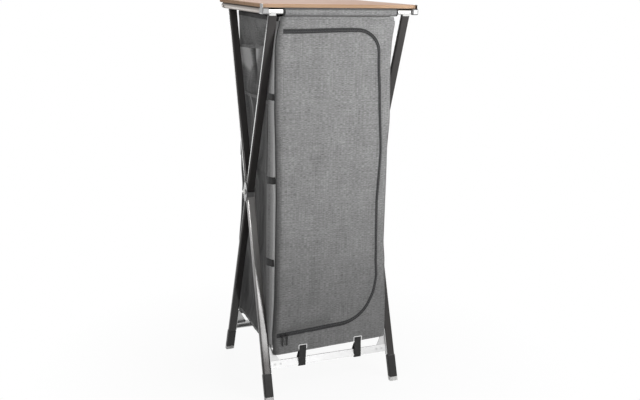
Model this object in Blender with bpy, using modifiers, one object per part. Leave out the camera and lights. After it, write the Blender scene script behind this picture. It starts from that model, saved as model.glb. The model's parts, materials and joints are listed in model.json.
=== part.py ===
# Folding camp cupboard: crossed tube frame, hanging fabric cabinet with a zip door, lift-off worktop.
# Metres, +Z up, front toward -Y. The origin is on the floor, under the centre of the overall box.

import math

import bmesh
import bpy
from mathutils import Matrix, Vector

# Overall frame: the board's width and the three heights place everything else
HUB_Y = -0.0080
HUB_HEIGHT = 0.7460
TUBE_HEIGHT = 1.4435
FOOT_REACH = 0.2536
BOARD_WIDTH = 0.6000
CLEARANCE = 0.0003

# Legs
LEG_INSET = 0.0400
LEG_WIDTH = 0.0310
LEG_THICKNESS = 0.0175
LEG_CORNER = 0.0050
LEG_WALL = 0.0015
FOLDED_GAP = 0.0007

# Cross joint
PIN_DIAMETER = 0.0060
HUB_PLATE = 0.0030
HUB_PLATE_MARGIN = 0.0014
HUB_PLATE_BELLY = 0.0065
HUB_PLATE_END = 0.0070
HUB_PLATE_TIP = 0.0030
HUB_CORE_WIDTH = 0.0260
SHOULDER_DIAMETER = 0.0090
BOLT_END_DIAMETER = 0.0080
BOLT_HEAD_DIAMETER = 0.0200
BOLT_HEAD_HEIGHT = 0.0090
HUB_END_LENGTH = 0.0060
HUB_END_PLUG = 0.0060
HUB_END_INSET = 0.0004
LEG_LIP_DEPTH = 0.0026

# Feet
FOOT_SLEEVE_LENGTH = 0.0830
FOOT_SLEEVE_WALL = 0.0012
FOOT_SOLE = 0.0160
FOOT_ROUND = 0.0040
GROUND_SIZE = 0.2000

# Top tubes and their saddles
TUBE_DIAMETER = 0.0180
TUBE_PAST_LEG = 0.0190
TUBE_RAIL_GAP = 0.00075
SPIGOT_DIAMETER = 0.0080
SPIGOT_IN_RAIL = 0.0060
SADDLE_WIDTH = 0.0260
SADDLE_WALL = 0.0030
SADDLE_PLUG = 0.0250

# Bottom profiles and their brackets
PROFILE_HEIGHT = 0.1208
PROFILE_FACE = 0.0270
PROFILE_DEPTH = 0.0140
PROFILE_WALL = 0.0020
PROFILE_LIP = 0.0040
PROFILE_INSET = 0.0030
BRACKET_THICKNESS = 0.0020
BRACKET_STRIP_WIDTH = 0.0140
BRACKET_STRIP_LENGTH = 0.1040
BRACKET_STRIP_ROUND = 0.0030
BRACKET_BELOW = 0.0280
GUSSET_FOOT = 0.0400
GUSSET_TIP = 0.0060
GUSSET_DROP = 0.0040
BRACKET_TAB_LENGTH = 0.0520
RIVET_SPACING = 0.0220
RIVET_EDGE = 0.0205
RIVET_DIAMETER = 0.0040
RIVET_HEAD = 0.0080
RIVET_HEAD_HEIGHT = 0.0012

# Worktop
BOARD_THICKNESS = 0.0140
BOARD_ROUND = 0.0030
BOARD_FRONT_OVERHANG = 0.0028
BOARD_REAR_OVERHANG = 0.0428
RAIL_DIAMETER = 0.0225
RAIL_WALL = 0.0015
RAIL_INSET = 0.0145
RAIL_ABOVE_TUBE = 0.00195
RAIL_FROM_FRONT_TUBE = 0.0317
RAIL_PAST_REAR_TUBE = 0.0228
CAP_LENGTH = 0.0030
CAP_PLUG = 0.0120
COLLAR_LENGTH = 0.0070
COLLAR_ROOT = 0.0015
FITTING_TUBE_GAP = 0.0007
FITTING_PAST_BOARD = 0.0030
FITTING_AHEAD = 0.0193
FITTING_ROUND = 0.0040
FITTING_PLUG = 0.0160
FITTING_PLUG_ROOT = 0.0070
HOOK_CLEARANCE = 0.0004
HOOK_RAMP = 0.0220
LUG_WIDTH = 0.0045
LUG_LENGTH = 0.0200
LUG_SETBACK = 0.0055
LUG_ROOT = 0.0090

# Fabric cabinet
CLOTH = 0.0030
CABINET_LEG_GAP = 0.0110
CABINET_WAIST = 0.0090
SLEEVE_WALL = 0.0030
SLEEVE_LEG_GAP = 0.0210
SLEEVE_HEM_LENGTH = 0.0090
SLEEVE_HEM_STEP = 0.0008
SEAM_DROP = 0.0042
SEAM_END_GAP = 0.0012
HEM_ABOVE_PROFILE = 0.0442
HEM_FORWARD = 0.0024
SIDE_ABOVE_HEM = 0.0220
SIDE_BELOW_TOP = 0.0120
SIDE_FOLD = 0.0050
SIDE_FOLDS = 3
SIDE_SAG = 0.0080
SIDE_COLUMNS = 12
SIDE_ROW_SPACING = 0.1200
FLOOR_ABOVE_HEM = 0.0300
SHELF_SPACINGS = (0.3020, 0.3400, 0.2980)
SHELF_THICKNESS = 0.0050
POCKET_ABOVE_SHELF = 0.1630
LOWER_POCKET_DROP = 0.1860
POCKET_FIRST_COLUMN = 2
POCKET_BULGE = 0.0090
POCKET_FOLDS = 2
POCKET_CLOTH = 0.0020

# Door and zip
DOOR_HINGE_MARGIN = 0.0040
DOOR_FREE_MARGIN = 0.0585
DOOR_TOP_MARGIN = 0.0490
DOOR_BOTTOM_MARGIN = 0.0745
DOOR_TOP_RADIUS = 0.1000
DOOR_BOTTOM_RADIUS = 0.1300
DOOR_GAP = 0.0006
ZIP_WIDTH = 0.0100
ZIP_THICKNESS = 0.0012
SLIDER_LENGTH = 0.0110
SLIDER_HEIGHT = 0.0120
SLIDER_THICKNESS = 0.0040
SLIDER_BEVEL = 0.0010
SLIDER_FROM_HINGE = 0.0205
SLIDER_SPACING = 0.0170
PULL_LENGTH = 0.0400
PULL_WIDTH = 0.0070
PULL_THICKNESS = 0.0020
PULL_PIN = 0.0012
PULL_PIN_STAND = 0.0021
PULL_EYE_TOP = 0.0013
PULL_SLOT = 0.0036
PULL_EYE_WIDTH = 0.0023
PULL_EYE_HALF = 0.0013

# Straps and buckles
STRAP_INSET = 0.1185
STRAP_WIDTH = 0.0270
STRAP_THICKNESS = 0.0015
STRAP_ABOVE_HEM = 0.0180
STRAP_TUCK = 0.0040
STRAP_HEM_GAP = 0.0060
BUCKLE_WIDTH = 0.0350
BUCKLE_HEIGHT = 0.0200
BUCKLE_WIRE = 0.0030
BUCKLE_ABOVE_HEM = 0.0150
BUCKLE_ROUND = 0.0030
BUCKLE_INNER_ROUND = 0.0010

# Roundness
ROUND = 20
SMALL_ROUND = 12
SLEEVE_ROUND = 24
CORNER_STEPS = 3

# Frame sizes that follow
LEG_ANGLE = math.atan(FOOT_REACH / HUB_HEIGHT)
LEG_LANE_X = BOARD_WIDTH / 2 - LEG_INSET
LEG_INNER_X = LEG_LANE_X - LEG_WIDTH / 2
PIN_REACH = (LEG_THICKNESS + FOLDED_GAP) / 2 / math.sin(LEG_ANGLE)
PIN_Y = PIN_REACH * math.sin(LEG_ANGLE)
PIN_Z = PIN_REACH * math.cos(LEG_ANGLE)
HUB_HALF_GAP = LEG_WIDTH / 2 + CLEARANCE
HUB_EYE_RADIUS = LEG_THICKNESS / 2 - HUB_END_INSET
LEG_LIP_START = (CLEARANCE + LEG_THICKNESS / 2 * math.sin(LEG_ANGLE)) / math.cos(LEG_ANGLE)
TUBE_Y = (TUBE_HEIGHT - HUB_HEIGHT) * math.tan(LEG_ANGLE)
TUBE_REACH = (TUBE_HEIGHT - HUB_HEIGHT) / math.cos(LEG_ANGLE) - PIN_REACH
LEG_TOP_REACH = TUBE_REACH - TUBE_DIAMETER / 2 - SADDLE_WALL
FLOOR_REACH = HUB_HEIGHT / math.cos(LEG_ANGLE) - PIN_REACH
SOLE_REACH = FLOOR_REACH - FOOT_SOLE
LEG_FOOT_REACH = SOLE_REACH - CLEARANCE
PROFILE_Y = (HUB_HEIGHT - PROFILE_HEIGHT) * math.tan(LEG_ANGLE)
PROFILE_REACH = (HUB_HEIGHT - PROFILE_HEIGHT) / math.cos(LEG_ANGLE) - PIN_REACH

# Worktop sizes that follow
RAIL_X = BOARD_WIDTH / 2 - RAIL_INSET
RAIL_Z = TUBE_HEIGHT + RAIL_ABOVE_TUBE
RAIL_FRONT = HUB_Y - TUBE_Y + RAIL_FROM_FRONT_TUBE
RAIL_REAR = HUB_Y + TUBE_Y + RAIL_PAST_REAR_TUBE
BOARD_UNDERSIDE = RAIL_Z + RAIL_DIAMETER / 2 + CLEARANCE
BOARD_TOP = BOARD_UNDERSIDE + BOARD_THICKNESS
BOARD_FRONT = HUB_Y - TUBE_Y - BOARD_FRONT_OVERHANG
BOARD_REAR = HUB_Y + TUBE_Y + BOARD_REAR_OVERHANG
FRONT_TUBE_HALF = LEG_LANE_X + TUBE_PAST_LEG
REAR_TUBE_HALF = RAIL_X - RAIL_DIAMETER / 2 - TUBE_RAIL_GAP
SPIGOT_HALF = RAIL_X + SPIGOT_IN_RAIL
FITTING_INNER_X = FRONT_TUBE_HALF + FITTING_TUBE_GAP
FITTING_OUTER_X = BOARD_WIDTH / 2 + FITTING_PAST_BOARD
FITTING_FRONT = HUB_Y - TUBE_Y - FITTING_AHEAD

# Cabinet sizes that follow
CABINET_HALF_WIDTH = LEG_INNER_X - CABINET_LEG_GAP
SLEEVE_RADIUS = TUBE_DIAMETER / 2 + CLEARANCE + SLEEVE_WALL
SLEEVE_HALF_LENGTH = LEG_INNER_X - SLEEVE_LEG_GAP
CABINET_TOP = TUBE_HEIGHT - SLEEVE_RADIUS - SEAM_DROP
HEM_HEIGHT = PROFILE_HEIGHT + HEM_ABOVE_PROFILE
PANEL_TOP_DEPTH = TUBE_Y
PANEL_HEM_DEPTH = PROFILE_Y + HEM_FORWARD
PANEL_TILT = math.atan((PANEL_TOP_DEPTH - PANEL_HEM_DEPTH) / (CABINET_TOP - HEM_HEIGHT))
SIDE_BOTTOM = HEM_HEIGHT + SIDE_ABOVE_HEM
SIDE_TOP = CABINET_TOP - SIDE_BELOW_TOP
FLOOR_HEIGHT = HEM_HEIGHT + FLOOR_ABOVE_HEM
SHELF_HEIGHTS = [FLOOR_HEIGHT + sum(SHELF_SPACINGS[: count + 1]) for count in range(3)]
POCKET_BOTTOM = SHELF_HEIGHTS[1]
POCKET_TOP = SHELF_HEIGHTS[2] + POCKET_ABOVE_SHELF
LOWER_POCKET_TOP = POCKET_TOP - LOWER_POCKET_DROP
DOOR_LEFT = CABINET_WAIST + DOOR_HINGE_MARGIN - CABINET_HALF_WIDTH
DOOR_RIGHT = CABINET_HALF_WIDTH - DOOR_FREE_MARGIN
DOOR_TOP = CABINET_TOP - DOOR_TOP_MARGIN
DOOR_BOTTOM = HEM_HEIGHT + DOOR_BOTTOM_MARGIN
STRAP_X = CABINET_HALF_WIDTH - STRAP_INSET
STRAP_TOP = HEM_HEIGHT + STRAP_ABOVE_HEM
BUCKLE_CENTRE = HEM_HEIGHT + BUCKLE_ABOVE_HEM

FRONT, REAR = -1, 1
LOWER, UPPER = -1, 1
LEFT, RIGHT = -1, 1
END_NAMES = {FRONT: "front", REAR: "rear"}
LEVEL_NAMES = {LOWER: "lower", UPPER: "upper"}
SIDE_NAMES = {LEFT: "left", RIGHT: "right"}


def clear_scene():
    for item in list(bpy.data.objects):
        bpy.data.objects.remove(item, do_unlink=True)


def make_collection(name):
    collection = bpy.data.collections.new(name)
    bpy.context.scene.collection.children.link(collection)
    return collection


def make_material(name, colour, roughness, metallic=0.0):
    material = bpy.data.materials.new(name)
    material.use_nodes = True
    shader = material.node_tree.nodes["Principled BSDF"]
    shader.inputs["Base Color"].default_value = (*colour, 1.0)
    shader.inputs["Roughness"].default_value = roughness
    shader.inputs["Metallic"].default_value = metallic
    return material


clear_scene()
PARTS = make_collection("folding_cupboard")
CUTTERS = make_collection("cutters")
LEG_DARK = make_material("dark_anodised_tube", (0.030, 0.027, 0.027), 0.30, 0.8)
HUB_METAL = make_material("hub_metal", (0.62, 0.62, 0.62), 0.35, 1.0)
POLISHED = make_material("polished_aluminium", (0.80, 0.80, 0.79), 0.18, 1.0)
SATIN = make_material("satin_aluminium", (0.45, 0.42, 0.40), 0.42, 0.9)
BRIGHT = make_material("bright_aluminium", (0.85, 0.85, 0.85), 0.35, 0.9)
FOOT_PLASTIC = make_material("foot_plastic", (0.05, 0.05, 0.05), 0.5)
DARK_PLASTIC = make_material("dark_plastic", (0.03, 0.03, 0.03), 0.5)
WOOD = make_material("worktop_wood", (0.74, 0.55, 0.40), 0.45)
FABRIC = make_material("grey_fabric", (0.20, 0.20, 0.20), 0.95)
DARK_FABRIC = make_material("dark_fabric", (0.05, 0.05, 0.05), 0.95)
ZIP_TAPE = make_material("zip_tape", (0.03, 0.03, 0.03), 0.7)
ZIP_METAL = make_material("zip_metal", (0.03, 0.03, 0.03), 0.4, 0.6)
STEEL = make_material("buckle_steel", (0.75, 0.75, 0.75), 0.22, 1.0)
WEBBING = make_material("webbing", (0.03, 0.03, 0.03), 0.85)


def add_empty(name, matrix):
    empty = bpy.data.objects.new(name, None)
    empty.matrix_world = matrix
    PARTS.objects.link(empty)
    return empty


def mesh_object(name, mesh, collection=None):
    item = bpy.data.objects.new(name, mesh)
    (collection or PARTS).objects.link(item)
    return item


def make_cutter(item):
    for collection in list(item.users_collection):
        collection.objects.unlink(item)
    CUTTERS.objects.link(item)
    item.hide_render = True
    item.display_type = "WIRE"
    return item


def extruded(name, loops, depth, matrix=None):
    """A flat outline with its holes, given depth about its own plane and made a mesh."""
    curve = bpy.data.curves.new(name, "CURVE")
    curve.dimensions = "2D"
    curve.fill_mode = "BOTH"
    curve.extrude = depth / 2
    for loop in loops:
        spline = curve.splines.new("POLY")
        spline.points.add(len(loop) - 1)
        for point, (x, y) in zip(spline.points, loop):
            point.co = (x, y, 0.0, 1.0)
        spline.use_cyclic_u = True
    source = bpy.data.objects.new(name + "_outline", curve)
    bpy.context.scene.collection.objects.link(source)
    depsgraph = bpy.context.evaluated_depsgraph_get()
    mesh = bpy.data.meshes.new_from_object(source.evaluated_get(depsgraph))
    bpy.data.objects.remove(source, do_unlink=True)
    bpy.data.curves.remove(curve)
    shape = bmesh.new()
    shape.from_mesh(mesh)
    bmesh.ops.remove_doubles(shape, verts=shape.verts, dist=0.00001)
    bmesh.ops.recalc_face_normals(shape, faces=shape.faces)
    shape.to_mesh(mesh)
    shape.free()
    mesh.name = name
    item = mesh_object(name, mesh)
    if matrix is not None:
        item.matrix_world = matrix
    return item


def block(name, size, centre):
    shape = bmesh.new()
    bmesh.ops.create_cube(shape, size=1.0)
    bmesh.ops.scale(shape, vec=size, verts=shape.verts)
    bmesh.ops.translate(shape, vec=centre, verts=shape.verts)
    mesh = bpy.data.meshes.new(name)
    shape.to_mesh(mesh)
    shape.free()
    return mesh_object(name, mesh)


def rod(name, diameter, length, centre, axis="X", sides=ROUND):
    turns = {
        "X": Matrix.Rotation(math.pi / 2, 3, "Y"),
        "Y": Matrix.Rotation(math.pi / 2, 3, "X"),
        "Z": Matrix.Identity(3),
    }
    shape = bmesh.new()
    bmesh.ops.create_cone(
        shape,
        cap_ends=True,
        segments=sides,
        radius1=diameter / 2,
        radius2=diameter / 2,
        depth=length,
    )
    bmesh.ops.rotate(shape, matrix=turns[axis], verts=shape.verts)
    bmesh.ops.translate(shape, vec=centre, verts=shape.verts)
    mesh = bpy.data.meshes.new(name)
    shape.to_mesh(mesh)
    shape.free()
    return mesh_object(name, mesh)


def boolean(item, tool, operation):
    make_cutter(tool)
    modifier = item.modifiers.new(operation.lower(), "BOOLEAN")
    modifier.object = tool
    modifier.operation = operation
    modifier.solver = "EXACT"
    return item


def join(item, *tools):
    for tool in tools:
        boolean(item, tool, "UNION")
    return item


def cut(item, *tools):
    for tool in tools:
        boolean(item, tool, "DIFFERENCE")
    return item


def bevel(item, width, segments=2, angle=50):
    modifier = item.modifiers.new("bevel", "BEVEL")
    modifier.width = width
    modifier.segments = segments
    modifier.limit_method = "ANGLE"
    modifier.angle_limit = math.radians(angle)
    return item


def bevelled(item, width, segments=2):
    """Bevels the mesh itself, for a piece that is joined or cut afterwards."""
    shape = bmesh.new()
    shape.from_mesh(item.data)
    bmesh.ops.bevel(
        shape,
        geom=shape.edges[:],
        offset=width,
        segments=segments,
        profile=0.5,
        affect="EDGES",
    )
    shape.to_mesh(item.data)
    shape.free()
    return item


def turned(name, profile, closed=False, sides=ROUND):
    """A solid of revolution: each point of the profile is a radius and a height along local Z."""
    edges = [(index, index + 1) for index in range(len(profile) - 1)]
    if closed:
        edges.append((len(profile) - 1, 0))
    mesh = bpy.data.meshes.new(name)
    mesh.from_pydata([(radius, 0, height) for radius, height in profile], edges, [])
    item = mesh_object(name, mesh)
    screw = item.modifiers.new("turned", "SCREW")
    screw.axis = "Z"
    screw.steps = sides
    screw.render_steps = sides
    screw.use_merge_vertices = True
    screw.merge_threshold = 0.00001
    return item


def arc(centre, radius, start, end, steps):
    points = []
    for step in range(steps + 1):
        turn = math.radians(start + (end - start) * step / steps)
        points.append((centre[0] + radius * math.cos(turn), centre[1] + radius * math.sin(turn)))
    return points


def circle(centre, diameter, sides=ROUND):
    return arc(centre, diameter / 2, 0, 360 - 360 / sides, sides - 1)


def rounded_rectangle(width, height, radius, centre=(0.0, 0.0), steps=CORNER_STEPS):
    x = width / 2 - radius
    y = height / 2 - radius
    points = []
    for corner_x, corner_y, start in ((x, y, 0), (-x, y, 90), (-x, -y, 180), (x, -y, 270)):
        corner = (centre[0] + corner_x, centre[1] + corner_y)
        points += arc(corner, radius, start, start + 90, steps)
    return points


def ribbon(path, thickness):
    """The closed outline of a strip of even thickness along an open path."""
    left = []
    right = []
    for index, point in enumerate(path):
        before = Vector(path[max(index - 1, 0)])
        after = Vector(path[min(index + 1, len(path) - 1)])
        along = (after - before).normalized()
        normal = Vector((-along.y, along.x))
        left.append(tuple(Vector(point) + normal * thickness / 2))
        right.append(tuple(Vector(point) - normal * thickness / 2))
    return left + right[::-1]


def axes(x_axis, y_axis, z_axis, origin=(0, 0, 0)):
    matrix = Matrix((x_axis, y_axis, z_axis)).transposed().to_4x4()
    matrix.translation = Vector(origin)
    return matrix


# Outline planes: the outline's own x and y become these two world directions.
SIDE_PLANE = axes((0, 1, 0), (0, 0, 1), (1, 0, 0))
FRONT_PLANE = axes((1, 0, 0), (0, 0, 1), (0, -1, 0))


def frame_matrix(end, level):
    """Local +Z runs along the leg away from the cross joint, local +Y points outward."""
    along = Vector((0, end * math.sin(LEG_ANGLE), level * math.cos(LEG_ANGLE)))
    outward = Vector((0, end * math.cos(LEG_ANGLE), -level * math.sin(LEG_ANGLE)))
    across = outward.cross(along)
    hub = Vector((0, HUB_Y, HUB_HEIGHT))
    return axes(across, outward, along, hub + along * PIN_REACH)


FRAMES = {}
for frame_end in (FRONT, REAR):
    for frame_level in (LOWER, UPPER):
        frame_name = "pivot_" + LEVEL_NAMES[frame_level] + "_" + END_NAMES[frame_end]
        FRAMES[frame_end, frame_level] = add_empty(frame_name, frame_matrix(frame_end, frame_level))


def local_side(side, end, level):
    """The frame's own X sign for a world side, because two of the frames are turned round."""
    return side * end * level


def place(item, material, parent):
    """Gives a piece its material, and sets it and its Boolean tools in their frame."""
    tools = [modifier.object for modifier in item.modifiers if modifier.type == "BOOLEAN"]
    for part in [item] + tools:
        part.parent = parent
    item.data.materials.clear()
    item.data.materials.append(material)
    return item


def build_leg(side, end, level):
    """Leg half with the eye for its pin; an upper one's outer wall runs on as a lip over the hub."""
    name = f"leg_{LEVEL_NAMES[level]}_{END_NAMES[end]}_{SIDE_NAMES[side]}"
    x = local_side(side, end, level) * LEG_LANE_X
    reach = LEG_TOP_REACH if level == UPPER else LEG_FOOT_REACH
    start = LEG_LIP_START - PIN_REACH if level == UPPER else HUB_END_LENGTH
    length = reach - start
    section = rounded_rectangle(LEG_WIDTH, LEG_THICKNESS, LEG_CORNER)
    bore = rounded_rectangle(
        LEG_WIDTH - 2 * LEG_WALL, LEG_THICKNESS - 2 * LEG_WALL, LEG_CORNER - LEG_WALL
    )
    leg = extruded(name, [section, bore], length)
    leg.data.transform(Matrix.Translation((x, 0, start + length / 2)))
    if level == UPPER:
        notch_size = (2 * LEG_WIDTH, LEG_THICKNESS, 2 * (HUB_END_LENGTH - start))
        notch = block(name + "_notch", notch_size, (x, -LEG_LIP_DEPTH, start))
        cut(leg, notch)
    plug_end = HUB_END_LENGTH + HUB_END_PLUG
    outline = arc((0, 0), HUB_EYE_RADIUS, 180, 360, 10)
    outline += [(HUB_EYE_RADIUS, plug_end), (-HUB_EYE_RADIUS, plug_end)]
    hole = circle((0, 0), PIN_DIAMETER + 2 * CLEARANCE, SMALL_ROUND)
    hub_end = extruded(name + "_hub_end", [outline, hole], LEG_WIDTH - 2 * HUB_END_INSET)
    hub_end.data.transform(Matrix.Translation((x, 0, 0)) @ SIDE_PLANE)
    join(leg, hub_end)
    return place(leg, LEG_DARK, FRAMES[end, level])


def hub_half_width(z):
    """Half-width of the hub plates: widest at the bolt, and still wider than the pins beside them."""
    widest = PIN_Y + PIN_DIAMETER / 2 + HUB_PLATE_MARGIN + HUB_PLATE_BELLY
    radius = (PIN_Z**2 + HUB_PLATE_BELLY**2) / (2 * HUB_PLATE_BELLY)
    return widest - radius + math.sqrt(radius**2 - z**2)


def hub_outline(steps=10):
    """Lens round the four pins, with blunt rounded ends."""
    shoulder = PIN_Z + HUB_PLATE_END
    heights = [shoulder * (2 * step / steps - 1) for step in range(steps + 1)]
    right = [(hub_half_width(z), z) for z in heights]
    turns = [math.radians(turn) for turn in range(30, 180, 30)]
    tip = [(right[-1][0] * math.cos(turn), shoulder + HUB_PLATE_TIP * math.sin(turn)) for turn in turns]
    half = right + tip
    return half + [(-y, -z) for y, z in half]


def hub_core_outline():
    """Block below the bolt's middle, and a wedge above it between the lips of the upper legs."""
    end = PIN_Z - HUB_EYE_RADIUS - CLEARANCE
    lip_gap = (LEG_THICKNESS / 2 - LEG_LIP_DEPTH - CLEARANCE) / math.cos(LEG_ANGLE)
    wedge = [(lip_gap + z * math.tan(LEG_ANGLE), z) for z in (-CLEARANCE, end)]
    right = [(HUB_CORE_WIDTH / 2, -end), (HUB_CORE_WIDTH / 2, -CLEARANCE)] + wedge
    return right + [(-y, z) for y, z in reversed(right)]


def pin_centres():
    return [(end * PIN_Y, level * PIN_Z) for end in (FRONT, REAR) for level in (LOWER, UPPER)]


def build_hub(side):
    name = SIDE_NAMES[side]
    centre = Vector((side * LEG_LANE_X, HUB_Y, HUB_HEIGHT))
    outward = side * (HUB_HALF_GAP + HUB_PLATE / 2)
    outer_hole = circle((0, 0), SHOULDER_DIAMETER + 2 * CLEARANCE)
    outer = extruded("hub_outer_plate_" + name, [hub_outline(), outer_hole], HUB_PLATE)
    outer.data.transform(Matrix.Translation(centre + Vector((outward, 0, 0))) @ SIDE_PLANE)
    pin_start = outward - side * HUB_PLATE / 4
    pin_end = -side * (HUB_HALF_GAP + HUB_PLATE)
    for index, (y, z) in enumerate(pin_centres()):
        pin_centre = centre + Vector(((pin_start + pin_end) / 2, y, z))
        length = abs(pin_start - pin_end)
        pin = rod(f"pin_{name}_{index}", PIN_DIAMETER, length, pin_centre, "X", SMALL_ROUND)
        join(outer, pin)
    place(outer, HUB_METAL, None)

    holes = [circle(point, PIN_DIAMETER + 2 * CLEARANCE, SMALL_ROUND) for point in pin_centres()]
    holes.append(circle((0, 0), BOLT_END_DIAMETER + 2 * CLEARANCE, SMALL_ROUND))
    inner = extruded("hub_inner_plate_" + name, [hub_outline()] + holes, HUB_PLATE)
    inner.data.transform(Matrix.Translation(centre - Vector((outward, 0, 0))) @ SIDE_PLANE)
    core_hole = circle((0, 0), SHOULDER_DIAMETER + 2 * CLEARANCE)
    core_depth = 2 * HUB_HALF_GAP + HUB_PLATE / 2 - CLEARANCE
    core = extruded("hub_core_" + name, [hub_core_outline(), core_hole], core_depth)
    core_shift = side * (HUB_HALF_GAP - CLEARANCE - core_depth / 2)
    core.data.transform(Matrix.Translation(centre + Vector((core_shift, 0, 0))) @ SIDE_PLANE)
    join(inner, core)
    place(inner, HUB_METAL, None)
    build_hub_bolt(side, centre)


def build_hub_bolt(side, centre):
    """Shoulder bolt turned about its own axis: round head, shoulder between the plates, thin end."""
    head_start = HUB_HALF_GAP + HUB_PLATE + CLEARANCE
    head_radius = BOLT_HEAD_DIAMETER / 2
    shoulder = SHOULDER_DIAMETER / 2
    profile = [(0, head_start + BOLT_HEAD_HEIGHT)]
    profile.append((head_radius * 0.5, head_start + BOLT_HEAD_HEIGHT * 0.95))
    profile.append((head_radius * 0.85, head_start + BOLT_HEAD_HEIGHT * 0.7))
    profile.append((head_radius, head_start + BOLT_HEAD_HEIGHT * 0.3))
    profile.append((head_radius, head_start))
    profile.append((shoulder, head_start))
    profile.append((shoulder, -HUB_HALF_GAP + CLEARANCE))
    profile.append((BOLT_END_DIAMETER / 2, -HUB_HALF_GAP + CLEARANCE))
    profile.append((BOLT_END_DIAMETER / 2, -HUB_HALF_GAP - HUB_PLATE))
    profile.append((0, -HUB_HALF_GAP - HUB_PLATE))
    bolt = turned("hub_bolt_" + SIDE_NAMES[side], profile)
    bolt.matrix_world = Matrix.Translation(centre) @ Matrix.Rotation(side * math.pi / 2, 4, "Y")
    return place(bolt, POLISHED, None)


def build_foot(side, end):
    """Dark sleeve over the leg's end, closed below by a rounded sole that is cut flat on the floor."""
    name = f"foot_{END_NAMES[end]}_{SIDE_NAMES[side]}"
    x = local_side(side, end, LOWER) * LEG_LANE_X
    inner_width = LEG_WIDTH + 2 * CLEARANCE
    inner_depth = LEG_THICKNESS + 2 * CLEARANCE
    width = inner_width + 2 * FOOT_SLEEVE_WALL
    depth = inner_depth + 2 * FOOT_SLEEVE_WALL
    start = SOLE_REACH - FOOT_SLEEVE_LENGTH
    bottom = FLOOR_REACH + FOOT_SOLE / 2
    foot = block(name, (width, depth, bottom - start), (0, 0, 0))
    bevelled(foot, FOOT_ROUND)
    foot.data.transform(Matrix.Translation((x, 0, (start + bottom) / 2)))
    corner = LEG_CORNER + CLEARANCE
    socket_outline = rounded_rectangle(inner_width, inner_depth, corner)
    socket_length = SOLE_REACH - start + FOOT_ROUND
    socket = extruded(name + "_socket", [socket_outline], socket_length)
    socket.data.transform(Matrix.Translation((x, 0, SOLE_REACH - socket_length / 2)))
    ground = block(name + "_ground", (GROUND_SIZE, GROUND_SIZE, GROUND_SIZE), (0, 0, 0))
    to_world = frame_matrix(end, LOWER)
    below = to_world @ Vector((x, 0, FLOOR_REACH))
    below.z = -GROUND_SIZE / 2
    ground.matrix_basis = to_world.inverted() @ Matrix.Translation(below)
    cut(foot, socket, ground)
    return place(foot, FOOT_PLASTIC, FRAMES[end, LOWER])


def build_top_tube(end):
    """Polished tube with end spigots and a welded saddle over each leg."""
    name = "tube_top_" + END_NAMES[end]
    half = FRONT_TUBE_HALF if end == FRONT else REAR_TUBE_HALF
    middle = (0, 0, TUBE_REACH)
    tube = rod(name, TUBE_DIAMETER, 2 * half, middle)
    spigot = rod(name + "_spigot", SPIGOT_DIAMETER, 2 * SPIGOT_HALF, middle, "X", SMALL_ROUND)
    join(tube, spigot)
    for side in (LEFT, RIGHT):
        x = side * LEG_LANE_X
        plug_width = LEG_WIDTH - 2 * LEG_WALL - 2 * CLEARANCE
        plug_depth = LEG_THICKNESS - 2 * LEG_WALL - 2 * CLEARANCE
        plug_start = LEG_TOP_REACH - SADDLE_PLUG
        seat_start = LEG_TOP_REACH + CLEARANCE
        plug_outline = rounded_rectangle(plug_width, plug_depth, LEG_CORNER - LEG_WALL)
        plug_length = seat_start + SADDLE_WALL / 2 - plug_start
        plug = extruded(f"{name}_plug_{side}", [plug_outline], plug_length)
        plug.data.transform(Matrix.Translation((x, 0, plug_start + plug_length / 2)))
        seat_length = TUBE_REACH - seat_start
        seat_outline = rounded_rectangle(SADDLE_WIDTH, LEG_THICKNESS - 2 * HUB_END_INSET, LEG_CORNER)
        seat = extruded(f"{name}_seat_{side}", [seat_outline], seat_length)
        seat.data.transform(Matrix.Translation((x, 0, seat_start + seat_length / 2)))
        join(tube, seat, plug)
    return place(tube, POLISHED, FRAMES[end, UPPER])


def build_profile(end):
    """Bottom channel with turned-in lips, its web facing outward."""
    name = "profile_bottom_" + END_NAMES[end]
    half = PROFILE_FACE / 2
    lip = half - PROFILE_LIP
    wall = PROFILE_WALL
    depth = PROFILE_DEPTH
    outline = [(0, -half), (0, half), (-depth, half), (-depth, lip), (-depth + wall, lip)]
    outline += [(-depth + wall, half - wall), (-wall, half - wall), (-wall, -half + wall)]
    outline += [(-depth + wall, -half + wall), (-depth + wall, -lip), (-depth, -lip), (-depth, -half)]
    outward = PROFILE_INSET
    length = 2 * (LEG_INNER_X - BRACKET_THICKNESS - 2 * CLEARANCE)
    profile = extruded(name, [outline], length)
    profile.data.transform(Matrix.Translation((0, outward, PROFILE_REACH)) @ SIDE_PLANE)
    for side in (LEFT, RIGHT):
        for x in rivet_places():
            hole = rod(
                f"{name}_hole_{side}_{x:.3f}",
                RIVET_DIAMETER + 2 * CLEARANCE,
                4 * wall,
                (side * x, outward, PROFILE_REACH),
                "Y",
                SMALL_ROUND,
            )
            cut(profile, hole)
    return place(profile, BRIGHT, FRAMES[end, LOWER])


def rivet_places():
    outer = LEG_INNER_X - RIVET_EDGE
    return (outer, outer - RIVET_SPACING)


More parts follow.
